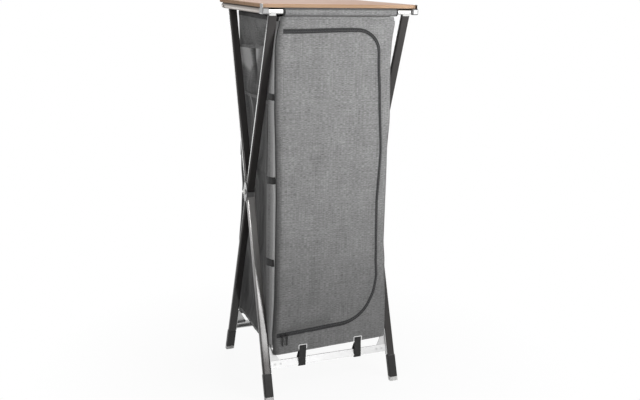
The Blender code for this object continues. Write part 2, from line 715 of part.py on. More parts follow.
def build_bracket(side, end):
    """Strip on the leg's inner face, triangular gusset, tab in the channel and two rivets."""
    name = f"bracket_{END_NAMES[end]}_{SIDE_NAMES[side]}"
    sign = local_side(side, end, LOWER)
    face = LEG_INNER_X - CLEARANCE
    strip_end = PROFILE_REACH + BRACKET_BELOW
    strip_start = strip_end - BRACKET_STRIP_LENGTH
    outward = PROFILE_INSET
    plate_y = outward - PROFILE_WALL - CLEARANCE - BRACKET_THICKNESS / 2
    strip_outline = rounded_rectangle(BRACKET_STRIP_WIDTH, BRACKET_STRIP_LENGTH, BRACKET_STRIP_ROUND)
    strip = extruded(name, [strip_outline], BRACKET_THICKNESS)
    strip_x = sign * (face - BRACKET_THICKNESS / 2)
    strip_place = Matrix.Translation((strip_x, 0, (strip_start + strip_end) / 2))
    strip.data.transform(strip_place @ SIDE_PLANE)
    channel_top = PROFILE_REACH - PROFILE_FACE / 2
    tab_half = PROFILE_FACE / 2 - PROFILE_WALL - CLEARANCE
    inside = sign * (face - BRACKET_THICKNESS / 2)
    tab_tip = sign * (face - BRACKET_TAB_LENGTH)
    neck_tip = sign * (face - GUSSET_TIP)
    slot = channel_top - CLEARANCE
    neck = strip_start + GUSSET_DROP
    gusset_outline = [(inside, neck), (neck_tip, neck)]
    gusset_outline += [(sign * (face - GUSSET_FOOT), slot), (inside, slot)]
    gusset = extruded(name + "_gusset", [gusset_outline], BRACKET_THICKNESS)
    gusset.data.transform(Matrix.Translation((0, plate_y, 0)) @ FRONT_PLANE)
    tab_outline = [(inside, PROFILE_REACH - tab_half), (tab_tip, PROFILE_REACH - tab_half)]
    tab_outline += [(tab_tip, PROFILE_REACH + tab_half), (inside, PROFILE_REACH + tab_half)]
    tab = extruded(name + "_tab", [tab_outline], BRACKET_THICKNESS)
    tab.data.transform(Matrix.Translation((0, plate_y, 0)) @ FRONT_PLANE)
    join(strip, gusset, tab)
    for x in rivet_places():
        head_y = outward + CLEARANCE + RIVET_HEAD_HEIGHT / 2
        head_place = (sign * x, head_y, PROFILE_REACH)
        head = rod(f"{name}_head_{x:.3f}", RIVET_HEAD, RIVET_HEAD_HEIGHT, head_place, "Y", SMALL_ROUND)
        shank_length = head_y - plate_y
        shank_place = (sign * x, (head_y + plate_y) / 2, PROFILE_REACH)
        shank = rod(f"{name}_shank_{x:.3f}", RIVET_DIAMETER, shank_length, shank_place, "Y", SMALL_ROUND)
        join(strip, shank, head)
    return place(strip, BRIGHT, FRAMES[end, LOWER])


def build_worktop():
    board_y = (BOARD_FRONT + BOARD_REAR) / 2
    board_z = BOARD_UNDERSIDE + BOARD_THICKNESS / 2
    depth = BOARD_REAR - BOARD_FRONT
    board = block("worktop_board", (BOARD_WIDTH, depth, BOARD_THICKNESS), (0, 0, 0))
    board.matrix_world = Matrix.Translation((0, board_y, board_z))
    bevel(board, BOARD_ROUND, 2)
    place(board, WOOD, None)
    for side in (LEFT, RIGHT):
        build_rail(side)
        build_rail_cap(side)
        build_corner_fitting(side)


def hook_outline(wall, opening):
    """Side view of the room for a spigot: an upright wall, a flat ceiling and a sloping lead-in."""
    seat = SPIGOT_DIAMETER / 2 + HOOK_CLEARANCE
    ceiling = TUBE_HEIGHT + seat
    below = RAIL_Z - RAIL_DIAMETER
    inner = wall + opening * 2 * seat
    return [(wall, below), (wall, ceiling), (inner, ceiling), (inner + opening * HOOK_RAMP, below)]


def build_rail(side):
    """Round side rail; a ramped notch below takes the rear tube's spigot."""
    name = "rail_" + SIDE_NAMES[side]
    length = RAIL_REAR - RAIL_FRONT
    outline = circle((0, 0), RAIL_DIAMETER)
    bore = circle((0, 0), RAIL_DIAMETER - 2 * RAIL_WALL)
    rail = extruded(name, [outline, bore], length)
    middle = (side * RAIL_X, (RAIL_FRONT + RAIL_REAR) / 2, RAIL_Z)
    rail.data.transform(Matrix.Translation(middle) @ Matrix.Rotation(math.pi / 2, 4, "X"))
    seat = SPIGOT_DIAMETER / 2 + HOOK_CLEARANCE
    rear_wall = HUB_Y + TUBE_Y + seat
    notch = extruded(name + "_notch", [hook_outline(rear_wall, -1)], 2 * RAIL_DIAMETER)
    notch.data.transform(Matrix.Translation((side * RAIL_X, 0, 0)) @ SIDE_PLANE)
    cut(rail, notch)
    return place(rail, SATIN, None)


def build_rail_cap(side):
    """Dark end cap: a flange over the rail's end and a plug in its bore."""
    name = "rail_cap_" + SIDE_NAMES[side]
    x = side * RAIL_X
    flange_start = RAIL_REAR + CLEARANCE
    plug_diameter = RAIL_DIAMETER - 2 * RAIL_WALL - 2 * CLEARANCE
    cap = rod(name, RAIL_DIAMETER, CAP_LENGTH, (x, flange_start + CAP_LENGTH / 2, RAIL_Z), "Y")
    plug_length = CAP_PLUG + CAP_LENGTH / 2
    plug_y = flange_start + CAP_LENGTH / 2 - plug_length / 2
    plug = rod(name + "_plug", plug_diameter, plug_length, (x, plug_y, RAIL_Z), "Y")
    join(cap, plug)
    return place(cap, DARK_PLASTIC, None)


def build_corner_fitting(side):
    """Front corner block: a hook over the tube's spigot, a collar and a plug in the rail's bore."""
    name = "corner_fitting_" + SIDE_NAMES[side]
    collar_front = RAIL_FRONT - CLEARANCE - COLLAR_LENGTH
    width = FITTING_OUTER_X - FITTING_INNER_X
    depth = collar_front - FITTING_FRONT
    middle_x = side * (FITTING_INNER_X + FITTING_OUTER_X) / 2
    fitting = block(name, (width, depth, RAIL_DIAMETER), (0, 0, 0))
    bevelled(fitting, FITTING_ROUND)
    fitting.data.transform(Matrix.Translation((middle_x, (FITTING_FRONT + collar_front) / 2, RAIL_Z)))
    collar_length = COLLAR_LENGTH + COLLAR_ROOT
    collar_place = (side * RAIL_X, RAIL_FRONT - CLEARANCE - collar_length / 2, RAIL_Z)
    collar_diameter = RAIL_DIAMETER - 2 * CLEARANCE
    collar = rod(name + "_collar", collar_diameter, collar_length, collar_place, "Y")
    plug_diameter = RAIL_DIAMETER - 2 * RAIL_WALL - 2 * CLEARANCE
    plug_start = collar_front - FITTING_PLUG_ROOT
    plug_length = RAIL_FRONT + FITTING_PLUG - plug_start
    plug_place = (side * RAIL_X, plug_start + plug_length / 2, RAIL_Z)
    plug = rod(name + "_plug", plug_diameter, plug_length, plug_place, "Y")
    join(fitting, collar, plug)
    front_wall = HUB_Y - TUBE_Y - SPIGOT_DIAMETER / 2 - HOOK_CLEARANCE
    hook_end = SPIGOT_HALF + CLEARANCE
    hook_width = hook_end - FITTING_INNER_X + FITTING_ROUND
    hook = extruded(name + "_hook", [hook_outline(front_wall, 1)], hook_width)
    hook.data.transform(Matrix.Translation((side * (hook_end - hook_width / 2), 0, 0)) @ SIDE_PLANE)
    cut(fitting, hook)
    lug_x = side * (BOARD_WIDTH / 2 + CLEARANCE + LUG_WIDTH / 2)
    lug_height = BOARD_THICKNESS + LUG_ROOT
    lug_place = (lug_x, FITTING_FRONT + LUG_SETBACK + LUG_LENGTH / 2, BOARD_TOP - lug_height / 2)
    lug = block(name + "_lug", (LUG_WIDTH, LUG_LENGTH, lug_height), lug_place)
    join(fitting, lug)
    return place(fitting, HUB_METAL, None)


def cabinet_half_width(z):
    """The cabinet is drawn in a little between its hem and its top."""
    part = (z - HEM_HEIGHT) / (CABINET_TOP - HEM_HEIGHT)
    return CABINET_HALF_WIDTH - CABINET_WAIST * math.sin(math.pi * min(max(part, 0), 1)) ** 2


def panel_depth(z):
    part = (z - HEM_HEIGHT) / (CABINET_TOP - HEM_HEIGHT)
    return PANEL_HEM_DEPTH + (PANEL_TOP_DEPTH - PANEL_HEM_DEPTH) * part


def panel_matrix(end):
    """Stands on the hem line and leans outward to the top tube; local Z is measured from the floor."""
    hem = Matrix.Translation((0, HUB_Y + end * PANEL_HEM_DEPTH, HEM_HEIGHT))
    return hem @ Matrix.Rotation(-end * PANEL_TILT, 4, "X") @ Matrix.Translation((0, 0, -HEM_HEIGHT))


PANELS = {}
for panel_end in (FRONT, REAR):
    PANELS[panel_end] = add_empty("panel_" + END_NAMES[panel_end], panel_matrix(panel_end))


def panel_outline(steps=12):
    heights = [HEM_HEIGHT + (CABINET_TOP - HEM_HEIGHT) * step / steps for step in range(steps + 1)]
    right = [(cabinet_half_width(z), z) for z in heights]
    left = [(-cabinet_half_width(z), z) for z in reversed(heights)]
    return right + left


def door_path(offset, start=DOOR_LEFT, steps=8):
    """Three sides of the door from top left round to bottom left, moved outward by an offset."""
    top_centre = (DOOR_RIGHT - DOOR_TOP_RADIUS, DOOR_TOP - DOOR_TOP_RADIUS)
    bottom_centre = (DOOR_RIGHT - DOOR_BOTTOM_RADIUS, DOOR_BOTTOM + DOOR_BOTTOM_RADIUS)
    path = [(start, DOOR_TOP + offset)]
    path += arc(top_centre, DOOR_TOP_RADIUS + offset, 90, 0, steps)
    path += arc(bottom_centre, DOOR_BOTTOM_RADIUS + offset, 0, -90, steps)
    path += [(start, DOOR_BOTTOM - offset)]
    return path


def build_front():
    parent = PANELS[FRONT]
    opening = door_path(DOOR_GAP / 2, DOOR_LEFT - DOOR_GAP)
    panel = extruded("cabinet_front", [panel_outline(), opening], CLOTH)
    panel.data.transform(FRONT_PLANE)
    place(panel, FABRIC, parent)

    tape_y = -CLOTH / 2 - CLEARANCE - ZIP_THICKNESS / 2
    tape_place = Matrix.Translation((0, tape_y, 0)) @ FRONT_PLANE
    outer_tape = door_path(ZIP_WIDTH / 2)
    outer = extruded("zip_panel_half", [outer_tape + door_path(DOOR_GAP / 2)[::-1]], ZIP_THICKNESS)
    outer.data.transform(tape_place)
    place(outer, ZIP_TAPE, parent)

    hinge = add_empty("door_hinge", Matrix.Translation((DOOR_LEFT, -CLOTH / 2, 0)))
    hinge.parent = parent
    back_to_panel = Matrix.Translation((-DOOR_LEFT, CLOTH / 2, 0))
    door = extruded("door", [door_path(-DOOR_GAP / 2)], CLOTH)
    door.data.transform(back_to_panel @ FRONT_PLANE)
    place(door, FABRIC, hinge)
    tape_start = DOOR_LEFT + ZIP_WIDTH / 2
    inner_tape = door_path(-DOOR_GAP / 2, tape_start) + door_path(-ZIP_WIDTH / 2, tape_start)[::-1]
    inner = extruded("zip_door_half", [inner_tape], ZIP_THICKNESS)
    inner.data.transform(back_to_panel @ tape_place)
    place(inner, ZIP_TAPE, hinge)
    for index, letter in enumerate("ab"):
        slider_x = DOOR_LEFT + SLIDER_FROM_HINGE + index * SLIDER_SPACING
        build_slider(letter, slider_x, hinge, back_to_panel)


def build_slider(letter, x, hinge, back_to_panel):
    """Zip slider on the bottom run, with an eye that carries the pull's pin."""
    face = -CLOTH / 2 - ZIP_THICKNESS - 2 * CLEARANCE - SLIDER_THICKNESS
    slider = block("zip_slider_" + letter, (SLIDER_LENGTH, SLIDER_THICKNESS, SLIDER_HEIGHT), (0, 0, 0))
    bevelled(slider, SLIDER_BEVEL, 1)
    slider.data.transform(Matrix.Translation((x, face + SLIDER_THICKNESS / 2, DOOR_BOTTOM)))
    pin_y = face - PULL_PIN_STAND
    pin_z = DOOR_BOTTOM - SLIDER_HEIGHT / 4
    eye_depth = PULL_PIN_STAND + PULL_EYE_HALF + SLIDER_BEVEL
    eye_size = (PULL_EYE_WIDTH, eye_depth, 2 * PULL_EYE_HALF)
    eye_place = (x, pin_y - PULL_EYE_HALF + eye_depth / 2, pin_z)
    eye = block(f"zip_eye_{letter}", eye_size, eye_place)
    pin_length = (PULL_EYE_WIDTH + PULL_WIDTH) / 2
    pin = rod(f"zip_pin_{letter}", PULL_PIN, pin_length, (x, pin_y, pin_z), "X", 8)
    for piece in (slider, eye, pin):
        piece.data.transform(back_to_panel)
    join(slider, eye, pin)
    place(slider, ZIP_METAL, hinge)
    pivot = add_empty(f"pull_pivot_{letter}", back_to_panel @ Matrix.Translation((x, pin_y, pin_z)))
    pivot.parent = hinge
    build_pull(letter, pivot, pin_length)


def build_pull(letter, pivot, pin_length):
    """Flat pull whose fork holds the pin's two ends."""
    half = PULL_WIDTH / 2
    slot_half = PULL_EYE_WIDTH / 2 + CLEARANCE
    outline = [(half, PULL_EYE_TOP)] + arc((0, half - PULL_LENGTH), half, 0, -180, 6)
    outline += [(-half, PULL_EYE_TOP), (-slot_half, PULL_EYE_TOP), (-slot_half, -PULL_SLOT)]
    outline += [(slot_half, -PULL_SLOT), (slot_half, PULL_EYE_TOP)]
    pull = extruded("zip_pull_" + letter, [outline], PULL_THICKNESS)
    pull.data.transform(FRONT_PLANE)
    socket_diameter = PULL_PIN + 2 * CLEARANCE
    socket = rod(f"zip_socket_{letter}", socket_diameter, pin_length + 2 * CLEARANCE, (0, 0, 0), "X", 8)
    cut(pull, socket)
    return place(pull, ZIP_METAL, pivot)


def build_back():
    back = extruded("cabinet_back", [panel_outline()], CLOTH)
    back.data.transform(FRONT_PLANE)
    return place(back, FABRIC, PANELS[REAR])


def cloth_sheet(name, corner_rows, thickness, inward):
    """A closed sheet of cloth over rows of points; inward is the side that its thickness grows to."""
    shape = bmesh.new()
    rows = [[shape.verts.new(point) for point in row] for row in corner_rows]
    for low, high in zip(rows, rows[1:]):
        for index in range(len(low) - 1):
            shape.faces.new((low[index], low[index + 1], high[index + 1], high[index]))
    mesh = bpy.data.meshes.new(name)
    shape.to_mesh(mesh)
    shape.free()
    item = mesh_object(name, mesh)
    solid = item.modifiers.new("cloth", "SOLIDIFY")
    solid.thickness = thickness
    solid.offset = inward
    return item


def side_point(column, z):
    """Outer face of the right side: soft vertical folds drawn inward, fading out at every edge."""
    along = column / SIDE_COLUMNS
    up = (z - SIDE_BOTTOM) / (SIDE_TOP - SIDE_BOTTOM)
    fade = math.sin(math.pi * along) * math.sin(math.pi * up)
    fold = SIDE_FOLD * fade * (0.5 - 0.5 * math.cos(2 * math.pi * SIDE_FOLDS * along))
    fold += SIDE_SAG * fade
    depth = panel_depth(z) - CLOTH / 2 / math.cos(PANEL_TILT) - CLEARANCE
    return cabinet_half_width(z) - fold, HUB_Y + depth * (2 * along - 1)


def side_rows():
    """Heights of the side's rows: one at every sewn line, with more between lines that lie far apart."""
    lines = [SIDE_BOTTOM, FLOOR_HEIGHT, *SHELF_HEIGHTS, LOWER_POCKET_TOP, POCKET_TOP, SIDE_TOP]
    lines.sort()
    rows = [lines[0]]
    for low, high in zip(lines, lines[1:]):
        steps = max(1, math.ceil((high - low) / SIDE_ROW_SPACING))
        rows += [low + (high - low) * (step + 1) / steps for step in range(steps)]
    return rows


def build_side(side):
    rows = []
    for z in side_rows():
        points = [side_point(column, z) for column in range(SIDE_COLUMNS + 1)]
        rows.append([(side * x, y, z) for x, y in points])
    item = cloth_sheet("cabinet_side_" + SIDE_NAMES[side], rows, CLOTH, -side)
    return place(item, FABRIC, None)


def build_pockets():
    """Sewn pocket cloth on the left side, whose open mouth stands off in two folds."""
    slack = CLEARANCE
    heights = [z for z in side_rows() if POCKET_BOTTOM - slack <= z <= POCKET_TOP + slack]
    columns = range(POCKET_FIRST_COLUMN, SIDE_COLUMNS + 1)
    rows = []
    for z in heights:
        up = (z - POCKET_BOTTOM) / (POCKET_TOP - POCKET_BOTTOM)
        line = []
        for column in columns:
            across = (column - POCKET_FIRST_COLUMN) / (SIDE_COLUMNS - POCKET_FIRST_COLUMN)
            x, y = side_point(column, z)
            stand = POCKET_BULGE * up * (0.5 - 0.5 * math.cos(2 * math.pi * POCKET_FOLDS * across))
            line.append((-x - CLEARANCE - stand, y, z))
        rows.append(line)
    item = cloth_sheet("side_pockets_left", rows, POCKET_CLOTH, -1)
    return place(item, FABRIC, None)


def build_shelf(name, z, material):
    """A cloth-covered shelf sewn in between the sides, cut to their shape."""
    edge = [side_point(column, z) for column in range(SIDE_COLUMNS + 1)]
    seam = CLOTH + 2 * CLEARANCE
    right = [(x - seam, y) for x, y in edge]
    left = [(seam - x, y) for x, y in reversed(edge)]
    shelf = extruded(name, [right + left], SHELF_THICKNESS)
    shelf.data.transform(Matrix.Translation((0, 0, z)))
    return place(shelf, material, None)


def build_sleeve(end):
    """Sewn sleeve round the top tube, with bound ends and the seam that the panel hangs from."""
    name = "sleeve_" + END_NAMES[end]
    bore = TUBE_DIAMETER / 2 + CLEARANCE
    hem = SLEEVE_RADIUS - SLEEVE_HEM_STEP
    half = SLEEVE_HALF_LENGTH
    body_half = half - SLEEVE_HEM_LENGTH
    profile = [(bore, half), (hem, half), (hem, body_half), (SLEEVE_RADIUS, body_half)]
    profile += [(radius, -height) for radius, height in reversed(profile)]
    sleeve = turned(name, profile, True, SLEEVE_ROUND)
    lie_along_x = Matrix.Rotation(math.pi / 2, 4, "Y")
    sleeve.matrix_basis = Matrix.Translation((0, 0, TUBE_REACH)) @ lie_along_x
    seam_bottom = CABINET_TOP + CLEARANCE
    seam_top = TUBE_HEIGHT - SLEEVE_RADIUS + SLEEVE_WALL / 2
    seam_size = (2 * (body_half - SEAM_END_GAP), CLOTH, seam_top - seam_bottom)
    seam = block(name + "_seam", seam_size, (0, 0, 0))
    seam_place = Matrix.Translation((0, HUB_Y + end * TUBE_Y, (seam_bottom + seam_top) / 2))
    seam.matrix_basis = frame_matrix(end, UPPER).inverted() @ seam_place
    join(sleeve, seam)
    return place(sleeve, FABRIC, FRAMES[end, UPPER])


def strap_path(end):
    """Side view of a strap: down from the buckle, under the profile and up behind it."""
    matrix = frame_matrix(end, LOWER)
    outward = PROFILE_INSET + CLEARANCE + STRAP_THICKNESS / 2
    inward = PROFILE_INSET - PROFILE_DEPTH - CLEARANCE - STRAP_THICKNESS / 2
    below = PROFILE_REACH + PROFILE_FACE / 2 + CLEARANCE + STRAP_THICKNESS / 2
    above = PROFILE_REACH - PROFILE_FACE / 2
    over_buckle = CLOTH / 2 + BUCKLE_WIRE + 3 * CLEARANCE + STRAP_THICKNESS / 2
    front_top = HUB_Y + end * (panel_depth(STRAP_TOP) + over_buckle)
    corner = matrix @ Vector((0, outward, below - STRAP_THICKNESS))
    outer_bend = matrix @ Vector((0, outward - STRAP_THICKNESS / 2, below))
    inner_bend = matrix @ Vector((0, inward + STRAP_THICKNESS / 2, below))
    inner_corner = matrix @ Vector((0, inward, below - STRAP_THICKNESS))
    rear_top = matrix @ Vector((0, inward, above))
    hem_inside = (HUB_Y + end * (PANEL_HEM_DEPTH - STRAP_TUCK), HEM_HEIGHT - STRAP_HEM_GAP)
    path = [(front_top, STRAP_TOP)]
    path += [(point.y, point.z) for point in (corner, outer_bend, inner_bend, inner_corner, rear_top)]
    return path + [hem_inside]


def build_strap_and_buckle(side, end):
    suffix = f"{END_NAMES[end]}_{SIDE_NAMES[side]}"
    strap = extruded("strap_" + suffix, [ribbon(strap_path(end), STRAP_THICKNESS)], STRAP_WIDTH)
    world = Matrix.Translation((side * STRAP_X, 0, 0)) @ SIDE_PLANE
    strap.data.transform(frame_matrix(end, LOWER).inverted() @ world)
    place(strap, WEBBING, FRAMES[end, LOWER])

    outline = rounded_rectangle(BUCKLE_WIDTH, BUCKLE_HEIGHT, BUCKLE_ROUND)
    window_width = BUCKLE_WIDTH - 2 * BUCKLE_WIRE
    window_height = BUCKLE_HEIGHT - 2 * BUCKLE_WIRE
    window = rounded_rectangle(window_width, window_height, BUCKLE_INNER_ROUND)
    buckle = extruded("buckle_" + suffix, [outline, window], BUCKLE_WIRE)
    buckle_y = end * (CLOTH / 2 + CLEARANCE + BUCKLE_WIRE / 2)
    buckle.data.transform(Matrix.Translation((side * STRAP_X, buckle_y, BUCKLE_CENTRE)) @ FRONT_PLANE)
    return place(buckle, STEEL, PANELS[end])


def build_frame():
    for end in (FRONT, REAR):
        build_top_tube(end)
        build_profile(end)
        for side in (LEFT, RIGHT):
            build_leg(side, end, UPPER)
            build_leg(side, end, LOWER)
            build_foot(side, end)
            build_bracket(side, end)
    for side in (LEFT, RIGHT):
        build_hub(side)


def build_cabinet():
    build_front()
    build_back()
    for side in (LEFT, RIGHT):
        build_side(side)
    build_pockets()
    build_shelf("cabinet_floor", FLOOR_HEIGHT, FABRIC)
    for index, height in enumerate(SHELF_HEIGHTS):
        build_shelf(f"shelf_{index + 1}", height, DARK_FABRIC)
    for end in (FRONT, REAR):
        build_sleeve(end)
        for side in (LEFT, RIGHT):
            build_strap_and_buckle(side, end)


build_frame()
build_worktop()
build_cabinet()
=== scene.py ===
# %% [markdown]
# # Folding camp cupboard: the looks
#
# The cupboard is a fabric cabinet that hangs in a crossed tube frame. The frame's metal pieces come from
# the CAD model and only get better materials here. Everything sewn is made again in this file: panels with
# real folds, a zip with teeth, stitching, bindings, pockets and webbing. Each cell makes one piece or one
# finish and prints what it made, so the file can be read and run from top to bottom.

# %% Load the CAD frame
import json
import math

import bmesh
import bpy
from mathutils import Matrix, Vector, noise

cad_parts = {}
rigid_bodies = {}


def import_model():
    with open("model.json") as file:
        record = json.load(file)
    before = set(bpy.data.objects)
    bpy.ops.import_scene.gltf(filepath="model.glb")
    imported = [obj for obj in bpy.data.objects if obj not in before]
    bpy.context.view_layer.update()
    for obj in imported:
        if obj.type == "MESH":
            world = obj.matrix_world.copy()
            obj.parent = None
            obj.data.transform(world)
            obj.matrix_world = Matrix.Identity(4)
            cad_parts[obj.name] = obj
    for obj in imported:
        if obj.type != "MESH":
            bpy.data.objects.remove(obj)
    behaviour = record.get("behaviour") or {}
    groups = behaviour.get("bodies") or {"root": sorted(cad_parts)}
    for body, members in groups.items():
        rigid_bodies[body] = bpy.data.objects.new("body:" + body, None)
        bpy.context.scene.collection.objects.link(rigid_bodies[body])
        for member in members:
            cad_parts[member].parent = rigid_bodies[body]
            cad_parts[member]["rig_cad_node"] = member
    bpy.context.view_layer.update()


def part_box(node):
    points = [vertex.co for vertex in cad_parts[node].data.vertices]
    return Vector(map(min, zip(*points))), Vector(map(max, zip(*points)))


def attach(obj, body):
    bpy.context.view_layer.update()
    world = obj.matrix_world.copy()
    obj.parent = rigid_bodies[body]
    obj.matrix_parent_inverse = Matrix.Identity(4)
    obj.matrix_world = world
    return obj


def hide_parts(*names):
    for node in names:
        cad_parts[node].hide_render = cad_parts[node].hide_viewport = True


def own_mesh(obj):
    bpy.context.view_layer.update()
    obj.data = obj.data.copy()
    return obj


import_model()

# %% [markdown]
# ## The camera
#
# A product photograph is usually taken with a normal lens, a little above the object. This one stands to
# the left of the cupboard and looks slightly down. The picture was cropped, so its optical centre lies
# above the middle, and the camera's vertical shift repeats that.

# %% Place the camera
CAMERA_PLACE = Vector((-1.3076, -3.1779, 1.5762))
CAMERA_YAW = 0.3990
CAMERA_PITCH = -0.1862
CAMERA_ROLL = 0.0232
CAMERA_SHIFT = -0.0918

forward = Vector((math.sin(CAMERA_YAW) * math.cos(CAMERA_PITCH),
                  math.cos(CAMERA_YAW) * math.cos(CAMERA_PITCH),
                  math.sin(CAMERA_PITCH)))
level = Vector((math.cos(CAMERA_YAW), -math.sin(CAMERA_YAW), 0))
upright = level.cross(forward)
across = level * math.cos(CAMERA_ROLL) + upright * math.sin(CAMERA_ROLL)
upward = upright * math.cos(CAMERA_ROLL) - level * math.sin(CAMERA_ROLL)

bpy.ops.object.camera_add(location=CAMERA_PLACE)
camera = bpy.context.object
camera.name = "camera"
axes = Matrix((across, upward, -forward)).transposed()
camera.matrix_world = Matrix.Translation(CAMERA_PLACE) @ axes.to_4x4()
camera.data.lens = 50
camera.data.sensor_width = 36
camera.data.shift_y = CAMERA_SHIFT
bpy.context.scene.camera = camera
print("camera at", [round(value, 3) for value in camera.location])

# %% [markdown]
# ## Soft studio light
#
# Most of the light comes from the front and the right. The key lamp lights the cloth, and two lamps further
# out are what the lower legs mirror. A weak corner lamp and a weak left lamp only open the shade, so that
# cloth which turns to the left goes dark, as the seam's groove and the side's hollows do. A low lamp behind
# draws the bright line along the dark tubes, because a glossy face at a steep angle shows whatever stands
# behind it. A wide lamp above lights the worktop, and two more open the right side and the back. A near
# lamp fades down the object, so the key stands close, and the camera is told not to see any of them.

# %% Set up the lamps


def lamp(name, place, aim, width, height, power):
    """A rectangular lamp at a place, turned to a point, that the camera itself doesn't see."""
    bpy.ops.object.light_add(type="AREA", location=place)
    made = bpy.context.object
    made.name = name
    made.data.shape = "RECTANGLE"
    made.data.size = width
    made.data.size_y = height
    made.data.energy = power
    made.rotation_mode = "QUATERNION"
    made.rotation_quaternion = (Vector(place) - Vector(aim)).to_track_quat("Z", "Y")
    made.visible_camera = False
    return made


lamp("key_lamp", (0.80, -1.25, 1.40), (0, 0, 1.2), 0.6, 0.6, 10.0)
lamp("streak_lamp", (0.78, -3.15, 1.05), (0, 0, 0.60), 0.5, 1.0, 12)
lamp("upper_streak_lamp", (0.80, -3.10, 1.85), (0, 0, 0.80), 0.5, 0.4, 2)
lamp("corner_lamp", (-0.60, -1.60, 1.45), (0, 0, 1.1), 0.5, 0.6, 5.5)
lamp("left_lamp", (-1.20, -0.70, 1.95), (-0.24, 0, 1.30), 0.5, 0.5, 4)
lamp("line_lamp", (-1.35, 3.10, 0.62), (0, 0, 0.80), 0.9, 1.1, 13)
lamp("top_lamp", (0.25, -0.10, 3.20), (0, 0, 1.40), 1.4, 1.4, 21)
lamp("right_lamp", (2.60, 0.50, 1.40), (0, 0, 0.80), 1.2, 1.2, 18)
lamp("back_lamp", (0.70, 2.90, 1.70), (0, 0, 0.80), 1.2, 1.2, 30)

# %% [markdown]
# ## A short way to write materials
#
# Every material here is a small tree of nodes on top of the Principled shader. A few helpers keep the cells
# short: one adds a node and sets or links its sockets by name, one starts a material with its plain values,
# and two write a left and right pair of names and a grey. A value that is the same everywhere stays on the
# shader's own socket.

# %% Helpers for materials
NODES = {item["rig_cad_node"]: item for item in bpy.data.objects if "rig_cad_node" in item}


def node(tree, kind, sockets=None, **settings):
    """Adds a node, sets its options, and fills or links its inputs by name."""
    made = tree.nodes.new(kind)
    for key, value in settings.items():
        setattr(made, key, value)
    for key, value in (sockets or {}).items():
        if isinstance(value, bpy.types.NodeSocket):
            tree.links.new(value, made.inputs[key])
        else:
            made.inputs[key].default_value = value
    return made


def finish(name, colour, roughness, metallic=0.0, **more):
    """A new material with its plain Principled values."""
    material = bpy.data.materials.new(name)
    material.use_nodes = True
    shader = material.node_tree.nodes["Principled BSDF"]
    shader.inputs["Base Color"].default_value = (*colour, 1)
    shader.inputs["Roughness"].default_value = roughness
    shader.inputs["Metallic"].default_value = metallic
    for key, value in more.items():
        shader.inputs[key.replace("_", " ")].default_value = value
    return material, material.node_tree, shader


def both(name):
    """The left and the right node of one name."""
    return f"{name}_left", f"{name}_right"


def grey(level):
    return level, level, level


print("CAD nodes found:", len(NODES))

# %% [markdown]
# ## Steps that most patterns share
#
# A pattern on a part is usually a noise that is stretched along one direction and then spread over a range
# of values or colours. The helpers below are those steps. They read the piece's own coordinates, so a
# pattern keeps its size in metres and moves with the piece.

# %% Helpers for patterns


def calculate(tree, operation, *values):
    """One sum on one or two values."""
    return node(tree, "ShaderNodeMath", dict(enumerate(values)), operation=operation).outputs[0]


def own_axes(tree):
    """The X, Y and Z of a place in the piece's own coordinates."""
    place = node(tree, "ShaderNodeTexCoord").outputs["Object"]
    return node(tree, "ShaderNodeSeparateXYZ", {"Vector": place}).outputs


def object_place(tree, scale, turn=(0, 0, 0)):
    """The piece's own coordinates, turned and stretched for a pattern."""
    coordinates = node(tree, "ShaderNodeTexCoord")
    turned = node(tree, "ShaderNodeMapping", {"Vector": coordinates.outputs["Object"], "Rotation": turn})
    return node(tree, "ShaderNodeMapping", {"Vector": turned.outputs[0], "Scale": scale}).outputs[0]


def grain_at(tree, place, detail=2.0, **more):
    """Noise from 0 to 1 at a stretched place."""
    sockets = {"Vector": place, "Scale": 1.0, "Detail": detail, **more}
    return node(tree, "ShaderNodeTexNoise", sockets).outputs["Fac"]


def own_grain(tree, scale, detail=2.0, turn=(0, 0, 0)):
    """Noise from 0 to 1 in the piece's own coordinates, turned and stretched."""
    return grain_at(tree, object_place(tree, scale, turn), detail)


def blend_colours(tree, amount, first, second):
    """A colour between two, by an amount that varies over the surface."""
    mixed = node(tree, "ShaderNodeMix", {0: amount}, data_type="RGBA")
    for socket, value in ((mixed.inputs[6], first), (mixed.inputs[7], second)):
        if isinstance(value, bpy.types.NodeSocket):
            tree.links.new(value, socket)
        else:
            socket.default_value = (*value, 1)
    return mixed.outputs[2]


def spread(tree, value, low, high, start=0.0, end=1.0):
    """Maps a value from one range to another."""
    sockets = {"Value": value, "From Min": start, "From Max": end, "To Min": low, "To Max": high}
    return node(tree, "ShaderNodeMapRange", sockets).outputs["Result"]


def bump(tree, shader, height, distance, strength=1.0):
    """A small relief from a pattern."""
    made = node(tree, "ShaderNodeBump", {"Height": height, "Distance": distance, "Strength": strength})
    tree.links.new(made.outputs[0], shader.inputs["Normal"])
    return made


print("pattern helpers ready")

# %% [markdown]
# ## World and floor
#
# The backdrop of the photograph is plain white. Light Path's ray outputs make the world white to the camera
# and in reflections, while the light that falls on the object stays at its own level. The floor does the
# same: near the feet a part of it is a real, diffuse surface that keeps the shadow, and further out it
# fades to plain white.

# %% Make the world and the floor
AMBIENT = 0.10
FLOOR_RADIUS = 30
FLOOR_PLACE = (0, 0, -0.0005)
NEAR_WHITE = 0.93
FADE_RANGE = (0.35, 1.10)


def seen_rays(tree):
    """One where a ray comes from the camera, a mirror or a glass, and zero for plain light."""
    rays = node(tree, "ShaderNodeLightPath").outputs
    seen = calculate(tree, "MAXIMUM", rays["Is Camera Ray"], rays["Is Glossy Ray"])
    return calculate(tree, "MAXIMUM", seen, rays["Is Transmission Ray"])


